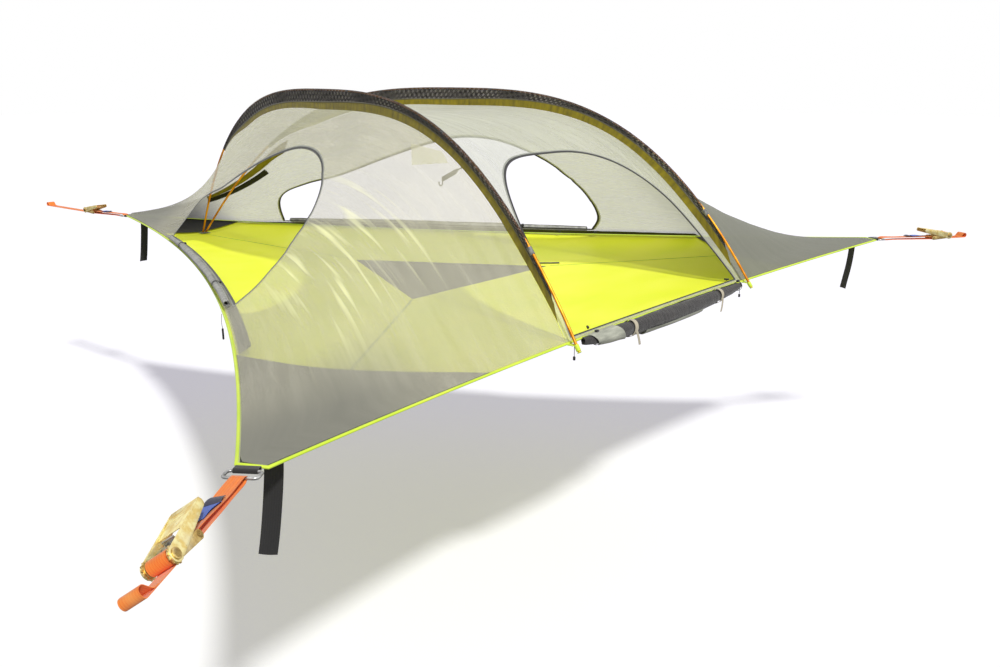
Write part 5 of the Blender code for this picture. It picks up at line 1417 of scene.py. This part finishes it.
def frontFold(start, end, low, high, lean, seed, lift):
    # pale cloth round part of the front roll, from x to x and from turn to turn
    start, end = frontPlace(start), frontPlace(end)

    def place(u, w):
        at = within(mix(start, end, u) + lean * w, 0.002, 0.998)
        radius = frontRollSize(at) * 0.99 + lift + ripple(u * 2.2 + w * 3.0, w * 4.0, seed) * 0.0030
        return onRoll(rollFrame(frontRollLine, at), radius, math.radians(mix(low, high, w)))
    return layCloth(22, 44, place, (abs(end - start) * 1.2, 0.12), 0.0008)


def makeFrontRoll():
    ties = [frontPlace(x) for x in frontRoll["ties"]]
    makeRoll("rolled_door_front", frontRoll, frontRollLine, frontRollSize, 91.0, 2.2, ties, "charcoal",
             "door_roll_front")
    # the pale inner cloth shows as a fold at the left end and as a belly below
    joinPieces([frontFold(-0.590, -0.430, 120, -85, 0.060, 95.0, 0.0010),
                frontFold(-0.24, 0.20, -118, -22, 0.0, 96.0, 0.0026)])
    piece = keep("front_roll_lining", "paleLining")
    parts = [tieBand(frontRollLine, frontRollSize, at, frontRoll["tieWidth"], 0.0016, 0.010, squash=0.90)
             for at in ties]
    width, length = frontRoll["tail"]
    for at, shift in zip(ties, frontRoll["tails"]):
        middle, run, side, over = rollFrame(frontRollLine, at)
        out = side if side.y < 0 else -side
        start = middle + out * (frontRollSize(at) * 0.9 + 0.0020) - over * 0.006

        def place(u, v):
            drop = out * (0.003 * math.sin(2.4 * v)) + run * (shift * v) - upwards * (length * v)
            return start + drop + run * ((u - 0.5) * width)
        parts.append(layCloth(3, 14, place, (width, length), 0.0010))
    joinPieces(parts)
    keep("front_roll_ties", "tanWebbing")
    parts = []
    for x in frontRoll["knots"]:
        at = min(0.985, frontPlace(x))
        middle, run, side, over = rollFrame(frontRollLine, at)
        parts.append(tieBand(frontRollLine, frontRollSize, at, 0.007, 0.0010, 0.003, 0.0014, 0.93))
        parts.append(blobShape((0.016, 0.012, 0.010), middle + over * (frontRollSize(at) + 0.003), run, side,
                               run.cross(side)))
    joinPieces(parts)
    keep("front_roll_knots", "blackWebbing")


for side, label in sideOf.items():
    makeSideRoll(side, label)
makeFrontRoll()
print("rolls made")


# corner hardware, with x outwards from the tip, y across and z up

tip = {"loopWidth": 0.058, "webbing": 0.0016, "gap": 0.0003, "ringInner": -0.064, "ringOuter": -0.026,
       "ringWire": 0.004, "ringHalf": 0.041, "ringBend": 0.010}
ratchet = {"reach": {"rear": 0.435, "left": 0.355, "right": 0.405}, "roll": {"rear": 0, "left": 35, "right": 0},
           "frameLength": 0.100, "frameDrop": 0.010, "bolt": 0.006, "head": 0.0085, "hole": 0.0093, "inner": 0.0265,
           "plate": 0.003, "shaft": 0.009, "handle": 0.160, "rest": 12, "strap": 0.048, "gather": 0.034}
tree = {"end": {"rear": 1.0, "left": 0.48, "right": 0.53}, "inner": 0.0148, "outer": 0.0169, "eye": 0.040,
        "over": 0.025, "high": 0.024, "nose": 0.010, "thread": 0.0004}
wound = {"turns": 2.0, "first": 0.0101, "gap": 0.00165, "thickness": 0.0012}
tail = {"setback": {"rear": 0.185, "left": 0.097, "right": 0.097}, "side": 0.020, "sway": 0.030, "length": 0.270,
        "width": 0.048, "thickness": 0.0016}


def cornerMatrix(name):
    # in the tent's own metres
    x = (tips[name] - centre).normalized()
    return Matrix.Translation(tips[name]) @ Matrix((x, crossways(x), upwards)).transposed().to_4x4()


def rigMatrix(name):
    place = Matrix.Translation((ratchet["reach"][name], 0, 0))
    return cornerMatrix(name) @ place @ Matrix.Rotation(math.radians(ratchet["roll"][name]), 4, "X")


def cutEdgeX(name):
    out = (tips[name] - centre).normalized()
    across = crossways(out)
    first, last = [p - tips[name] for p in edgesAt(name, plan["tipCut"])]
    slope = (last - first).dot(out) / (last - first).dot(across)
    return first.dot(out) - slope * first.dot(across) + abs(slope) * tip["loopWidth"] / 2


def barRadius(wire):
    # of the webbing's middle, round a wire
    return wire + tip["gap"] + tip["webbing"] / 2


def beltPath(start, end, startRadius, endRadius):
    # round two bars, in x and z
    def straight(r, sign):
        return (mix(start[0], end[0], r), 0, mix(start[1], end[1], r) + sign * mix(startRadius, endRadius, r))

    def around(bar, radius, first):
        turns = [wheel(radius, first + 15 * i) for i in range(13)]
        return [(bar[0] + x, 0, bar[1] + z) for x, z in turns]
    points = around(start, startRadius, 90) + [straight(i / 24, -1) for i in range(1, 24)]
    return points + around(end, endRadius, -90) + [straight(1 - i / 24, 1) for i in range(1, 24)]


def rolled(x, y, z, turn):
    return Vector((x, y * math.cos(turn) - z * math.sin(turn), y * math.sin(turn) + z * math.cos(turn)))


def layTape(matrix, path, widthAt, rollAt=lambda x: 0.0, closed=False, wave=lambda u, x, v: 0.0, step=0.004,
            thickness=tip["webbing"]):
    # flat webbing that follows a path in x and z
    line = resample(path, step, closed)
    if closed:
        line.append(line[0])
    count = len(line) - 1

    def place(u, v):
        i = min(count, round(v * count))
        x, _, z = line[i]
        return matrix @ rolled(x, (u - 0.5) * widthAt(x), z + wave(u, x, i / count), rollAt(x))
    layCloth(8, count, place, (widthAt(path[0][0]), lengthOf(line)), thickness, closed, 50)


def makeLoop(name):
    bar = barRadius(tip["ringWire"])
    start = cutEdgeX(name) + plan["bindingWidth"] / 2 + barRadius(bar)
    layTape(cornerMatrix(name), beltPath((start, 0), (tip["ringInner"], 0), bar, bar), lambda x: tip["loopWidth"],
            closed=True, step=0.003)
    keep(f"tip_loop_{name}", "blackWebbing", f"corner_loop_{name}")


def makeRing(name):
    middle = (tip["ringInner"] + tip["ringOuter"]) / 2
    half, bend = (tip["ringOuter"] - tip["ringInner"]) / 2, tip["ringBend"]
    places = []
    for signX, signY, start in ((1, 1, 0), (-1, 1, 90), (-1, -1, 180), (1, -1, 270)):
        for i in range(9):
            x, y = wheel(bend, start + 90 * i / 8)
            place = Vector((middle + signX * (half - bend) + x, signY * (tip["ringHalf"] - bend) + y, 0))
            places.append(cornerMatrix(name) @ place)
    pullTube(places, tip["ringWire"], True, 4)
    keep(f"tip_ring_{name}", "steel", f"corner_ring_{name}")


def makeTail(name):
    matrix = cornerMatrix(name)
    x = cutEdgeX(name) - tail["setback"][name]
    sway = matrix.to_3x3().inverted() @ (Vector((-1, 1, 0)).normalized() * tail["sway"])
    top = matrix @ Vector((x, tail["side"], 0))
    level = floorHeight(top.x, top.y) - 0.0032

    def place(u, v):
        middle = Vector((x, tail["side"] + (u - 0.5) * tail["width"], 0)) + sway * (v ** 1.5)
        middle.x += 0.0035 * math.sin(v * 5.2) * v + 0.003 * math.sin(math.pi * u) * v
        middle.z = mix(level, -tail["length"], v)
        return matrix @ middle
    layCloth(8, 60, place, (tail["width"], tail["length"]), tail["thickness"])
    keep(f"tail_tape_{name}", "blackWebbing", f"tail_strap_{name}")


def makeInner(name):
    matrix, roll = cornerMatrix(name), math.radians(ratchet["roll"][name])
    boltX = ratchet["reach"][name] - ratchet["frameLength"]
    ringBar, boltBar = barRadius(tip["ringWire"]), barRadius(ratchet["bolt"])
    near, far = tip["ringOuter"] + 2 * ringBar, boltX - 2 * boltBar

    def rollAt(x):
        return roll * ease(near, far, x)

    def wave(u, x, v):
        # bunched where it goes round the ring
        bunch = (1 - ease(near, near + 0.10, x)) * 0.0034 * ease(tip["ringOuter"], near, x)
        return (1 if v > 0.5 else -1) * bunch * abs(math.sin(u * 2.5 * math.pi + v * 3))
    path = beltPath((tip["ringOuter"], 0), (boltX, -ratchet["frameDrop"]), ringBar, boltBar)
    layTape(matrix, path, lambda x: mix(ratchet["gather"], ratchet["strap"], ease(near, far, x)), rollAt, True, wave)
    keep(f"ring_strap_{name}", "orangeWebbing", f"inner_strap_{name}")
    # a folded tag, navy at its tip, sewn on the strap
    for label, finish, start, end, widths, lift, rows, size, thickness in (
            ("tag", "blue", 0.140, 0.066, (0.040, 0.026), 0.0, 14, (0.03, 0.07), 0.0011),
            ("tag_tip", "navy", 0.168, 0.132, (0.034, 0.042), 0.0013, 8, (0.03, 0.03), 0.0014)):
        def place(u, v):
            x = boltX - mix(start, end, v)
            rise = boltBar + 0.0024 + lift + 0.0028 * math.sin(math.pi * v)
            return matrix @ rolled(x, (u - 0.5) * mix(*widths, v), rise - ratchet["frameDrop"] * (x / boltX), rollAt(x))
        layCloth(8, rows, place, size, thickness)
        keep(f"strap_{label}_{name}", finish)


def makeTree(name):
    matrix = rigMatrix(name)
    end = tree["end"][name] - ratchet["reach"][name]
    low, high, eye, nose = -tree["outer"], tree["high"], tree["eye"], tree["nose"]
    path = []
    for i in range(49):
        x, z = wheel(mix(tree["inner"], tree["outer"], i / 48), -90 - 360 * (1 - i / 48))
        path.append((x, 0, z))
    path += [(end * i / 12, 0, low) for i in range(1, 12)]
    # the eye, rounded, and the sewn end on the strap
    path.append((end - nose, 0, low))
    for i in range(1, 12):
        x, z = wheel(1, -90 + 15 * i)
        path.append((end - nose + nose * x, 0, low + high / 2 + high / 2 * z))
    path.append((end - eye * 0.35, 0, low + high))
    for i in range(1, 9):
        path.append((end - eye * mix(0.35, 1, i / 8), 0, low + mix(high, tip["webbing"] + 0.0005, ease(0, 1, i / 8))))
    path.append((end - eye - tree["over"] / 2, 0, low + tip["webbing"] + 0.0005))
    layTape(matrix, path, lambda x: ratchet["strap"])
    keep(f"tree_tape_{name}", "orangeWebbing", f"tree_strap_{name}")
    stitches = []
    for k in range(4):
        x, z = end - eye - tree["over"] * (0.42 - 0.26 * k), low + tip["webbing"] * 1.5 + 0.0007
        line = [matrix @ Vector((x + 0.0022 * (j % 2), (j / 14 - 0.5) * 0.040, z)) for j in range(15)]
        stitches.append(pullTube(line, tree["thread"], sides=1))
    joinPieces(stitches)
    keep(f"tree_stitches_{name}", "thread")
    # the strap wound on the drum
    coil = [wheel(wound["first"] + wound["gap"] * wound["turns"] * i / 96, 360 * wound["turns"] * i / 96)
            for i in range(97)]
    layTape(matrix, [(x, 0, z) for x, z in coil], lambda x: ratchet["strap"], step=0.0016,
            thickness=wound["thickness"])
    keep(f"wound_strap_{name}", "orangeWebbing", f"strap_roll_{name}", f"drum_{name}")


def cutPlate(outline, hole, low, high, bevel):
    # a stamped plate in x and z with one round hole, pushed out along y
    deselect()
    bpy.ops.mesh.primitive_circle_add(vertices=len(outline), radius=0.02)
    plate = bpy.context.object
    for point, place in zip(plate.data.vertices, outline):
        point.co = (place[0], low, place[1])
    if hole:
        bpy.ops.object.select_all(action="DESELECT")
        bpy.ops.mesh.primitive_circle_add(vertices=32, radius=hole, rotation=(math.radians(90), 0, 0),
                                          location=(0, low, 0))
        bpy.ops.object.transform_apply(location=True, rotation=True)
        joinPieces([plate, bpy.context.object])
    bpy.ops.object.mode_set(mode="EDIT")
    bpy.ops.mesh.select_all(action="SELECT")
    bpy.ops.mesh.fill()
    bpy.ops.mesh.extrude_region_move(TRANSFORM_OT_translate={"value": (0, high - low, 0)})
    bpy.ops.mesh.select_all(action="SELECT")
    bpy.ops.mesh.normals_make_consistent(inside=False)
    bpy.ops.object.mode_set(mode="OBJECT")
    soften(bpy.context.object, bevel, 2, 50)
    return smoothFaces(bpy.context.object, 35)


def roundRod(radius, low, high, place=(0, 0), segments=32, bevel=0.0006):
    # a rod along y
    deselect()
    bpy.ops.mesh.primitive_cylinder_add(vertices=segments, radius=radius, depth=high - low,
                                        rotation=(math.radians(90), 0, 0),
                                        location=(place[0], (low + high) / 2, place[1]))
    bpy.ops.object.transform_apply(location=True, rotation=True)
    soften(bpy.context.object, bevel, 2, 30)
    return smoothFaces(bpy.context.object)


def arcLine(x, z, radius, start, end, steps):
    turns = [wheel(radius, mix(start, end, i / steps)) for i in range(steps + 1)]
    return [(x + a, z + b) for a, b in turns]


def bothSides(shape, low, high):
    # one at each side of the middle
    return [shape(-high, -low), shape(low, high)]


def modelFrame():
    inner, outer = ratchet["inner"], ratchet["inner"] + ratchet["plate"]
    spot = (-ratchet["frameLength"], -ratchet["frameDrop"])
    outline = arcLine(0, 0, 0.015, -95, 115, 24) + [(-0.0175, -0.0020)] + arcLine(*spot, 0.011, 90, 265, 14)
    plates = bothSides(lambda a, b: cutPlate(outline, ratchet["hole"], a, b, 0.0005), inner, outer)
    bolt = roundRod(ratchet["bolt"], -inner - 0.001, inner + 0.001, spot)
    heads = bothSides(lambda a, b: roundRod(ratchet["head"], a, b, spot, 24, 0.0005), inner - 0.0004, outer)
    return joinPieces(plates + [bolt] + heads)


def modelHandle():
    low, high = 0.0339, 0.0364
    outline = arcLine(0, 0, 0.017, -85, 85, 20) + arcLine(-ratchet["handle"], 0, 0.010, 95, 265, 14)
    parts = bothSides(lambda a, b: cutPlate(outline, ratchet["hole"], a, b, 0.0005), low, high)
    parts.append(boxShape((-0.168, -high, 0.0072), (-0.078, high, 0.0092), 0.0006))
    parts += [boxShape((x, -0.026, 0.0090), (x + 0.003, 0.026, 0.0098), 0.0004, 2) for x in (-0.150, -0.140, -0.130)]
    parts += bothSides(lambda a, b: boxShape((-0.168, a, 0.004), (-0.080, b, 0.0092), 0.0006), 0.0318, 0.0362)
    return joinPieces(parts)


def modelDrum():
    gearLow, gearHigh, capLow, capHigh = 0.0298, 0.0336, 0.0367, 0.0392
    teeth = []
    for i in range(12):
        at = 2 * math.pi * i / 12
        root = 2 * math.pi * (i + 0.72) / 12
        for radius, turn in ((0.020, at - 0.03), (0.0199, at + 0.02), (0.0165, root)):
            teeth.append(wheel(radius, math.degrees(turn)))
    parts = bothSides(lambda a, b: cutPlate(teeth, None, a, b, 0.0003), gearLow, gearHigh)
    parts += bothSides(lambda a, b: roundRod(0.012, a, b, bevel=0.0008), capLow, capHigh)
    parts += bothSides(lambda a, b: roundRod(ratchet["shaft"], a, b), 0.0248, capHigh)
    # two half shafts with the strap's slot between them
    for sign in (-1, 1):
        half = [(x, z * sign) for x, z in arcLine(0, 0, ratchet["shaft"], 9.6, 170.4, 20)]
        parts.append(cutPlate(half, None, -0.0249, 0.0249, 0.0004))
    return joinPieces(parts)


def modelPawl():
    low = 0.0339 - 0.0003
    parts = [boxShape((-0.0603, -low, -0.0015), (-0.0203, low, 0.0015), 0.0005),
             boxShape((-0.0603, -0.015, 0.0), (-0.0563, 0.015, 0.011), 0.0010)]
    parts += bothSides(lambda a, b: boxShape((-0.050, a, 0.0012), (-0.028, b, 0.0022), 0.0004, 2), 0.0185, 0.0215)
    return joinPieces(parts)


def placeRatchets():
    rest = Matrix.Rotation(math.radians(ratchet["rest"]), 4, "Y")
    for model, part, finish, slot, turn in ((modelFrame(), "frame", "zinc", "gold_zinc", Matrix()),
                                            (modelDrum(), "drum", "zinc", "gold_zinc", Matrix()),
                                            (modelHandle(), "handle", "brass", "gold_zinc", rest),
                                            (modelPawl(), "pawl", "steel", "steel", rest)):
        for name in tips:
            twin = model.copy()
            twin.data = model.data.copy()
            bpy.context.scene.collection.objects.link(twin)
            placed(twin, Matrix.Translation(hang) @ rigMatrix(name) @ turn)
            keep(f"tightener_{part}_{name}", finish, f"ratchet_{part}_{name}",
                 "tent" if part == "frame" else f"{part}_{name}")
        bpy.data.objects.remove(model, do_unlink=True)


for name in tips:
    makeLoop(name)
    makeRing(name)
    makeTail(name)
    makeInner(name)
    makeTree(name)
placeRatchets()
print("corners made")


# hook under the roof, zip pulls, toggles and the small flaps

hook = {"share": 0.82, "inset": 0.014, "below": 0.006, "run": 0.105, "fall": 0.050, "width": 0.020, "wire": 0.0022,
        "radius": 0.009, "shank": 0.014, "turn": 200, "twist": 70, "tip": 0.0058, "thickness": 0.0016}
pull = {"length": 0.056, "diameter": 0.0024, "bead": (0.0045, 0.014), "beadBelow": 0.063}
toggle = {"skirt": (0.400, 0.640, 0.684), "feet": ((0.990, 0.112), (0.990, 0.921)), "bar": (0.022, 0.008, 0.007),
          "stem": (0.005, 0.005, 0.010)}


def makeHook():
    start = crestPoint(-1, wingShare(hook["share"])) + Vector((hook["inset"], 0, -hook["below"]))
    face = Vector((0, hook["fall"], hook["run"])).normalized()

    def place(u, v):
        # the strap turns on its way down
        turn = math.radians(hook["twist"]) * ease(0.02, 0.40, v)
        wide = (Vector((1, 0, 0)) * math.cos(turn) + face * math.sin(turn)) * ((u - 0.5) * hook["width"])
        return start + wide + Vector((0, hook["run"] * v, -hook["fall"] * v - 0.0003 * math.sin(math.pi * v)))
    layCloth(5, 24, place, (hook["width"], 0.116), hook["thickness"])
    keep("hook_tape", "blackWebbing", "gear_hook_strap")
    slope = hook["fall"] / hook["run"]
    below = hook["thickness"] / 2 * math.sqrt(1 + slope * slope) + hook["wire"] * slope + 0.0003
    top = start + Vector((0, hook["run"] - hook["wire"], slope * hook["wire"] - hook["fall"] - below))
    bend = top + Vector((0, hook["radius"], -hook["shank"]))
    places = [top] + [bend + Vector((0, *wheel(hook["radius"], 180 + hook["turn"] * i / 28))) for i in range(29)]
    wire = pullTube(places, hook["wire"], sides=4)
    joinPieces([wire, blobShape([hook["tip"]] * 3, places[-1], (1, 0, 0), (0, 1, 0), upwards, 0.45)])
    keep("hook_wire", "blackPlastic", "gear_hook")


def makePull(label):
    low, high = [Vector(c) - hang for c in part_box(f"zip_pull_{label}")]
    top = Vector(((low.x + high.x) / 2, (low.y + high.y) / 2, high.z))
    places = [top - upwards * (pull["length"] * i / 12) for i in range(13)]
    hangCord(f"pull_cord_{label}", places, pull["diameter"], "blackWebbing", pull["length"],
             f"zip_pull_{label}")
    deselect()
    radius, depth = pull["bead"]
    bpy.ops.mesh.primitive_cylinder_add(vertices=20, radius=radius, depth=depth,
                                        location=hang + top - upwards * pull["beadBelow"])
    bpy.ops.object.transform_apply(location=True)
    soften(bpy.context.object, 0.0024, 4)
    smoothFaces(bpy.context.object)
    keep(f"pull_bead_{label}", "blackPlastic")


def makeFlap(name, lift, corners, finish, bulge, seed, size):
    # a small flap on the far wall: corners are share and place across
    surface = wingLifted(1)
    corners = [Vector(c) for c in corners]

    def place(u, v):
        s, t = corners[0].lerp(corners[1], u).lerp(corners[3].lerp(corners[2], u), v)
        swell = bulge * math.sin(math.pi * u) * math.sin(math.pi * v) + abs(ripple(u * 3, v * 3, seed)) * bulge
        return surface(s, t, lift + swell)
    layCloth(12, 12, place, size, 0.0008)
    keep(name, finish)


def makeToggles():
    # on the far skirt, and at the front door's feet
    def onSkirt(share, lift):
        return wingPoint(1, share, 0.951) - wingOut(1, share, 0.95) * (0.012 + lift)
    spots = [lambda lift, at=at: onSkirt(at, lift) for at in toggle["skirt"]]
    spots += [lambda lift, at=at: roofLifted(*at, lift) for at in toggle["feet"]]
    pieces = []
    for k, spot in enumerate(spots):
        lean = Vector((math.cos(k * 1.3), math.sin(k * 1.3), 0))
        for size, lift in ((toggle["bar"], 0.006), (toggle["stem"], 0.004)):
            pieces.append(blobShape(size, spot(lift), lean, upwards.cross(lean), upwards))
    joinPieces(pieces)
    keep("cloth_toggles", "blackPlastic")


makeHook()
for label in sideOf.values():
    makePull(label)
makeFlap("cream_flap", -0.0026, [(0.494, 0.236), (0.536, 0.290), (0.539, 0.371), (0.483, 0.393)], "cream",
         -0.006, 101.0, (0.20, 0.18))
makeFlap("black_flap", -0.0026, [(0.1685, 0.10), (0.258, 0.140), (0.262, 0.215), (0.166, 0.190)], "deepBlackAndShade",
         -0.003, 103.0, (0.36, 0.06))
makeFlap("olive_flap", -0.0020, [(0.1685, 0.035), (0.300, 0.030), (0.290, 0.120), (0.1685, 0.105)], "olive",
         -0.003, 104.0, (0.50, 0.05))
makeToggles()
print("small parts made")
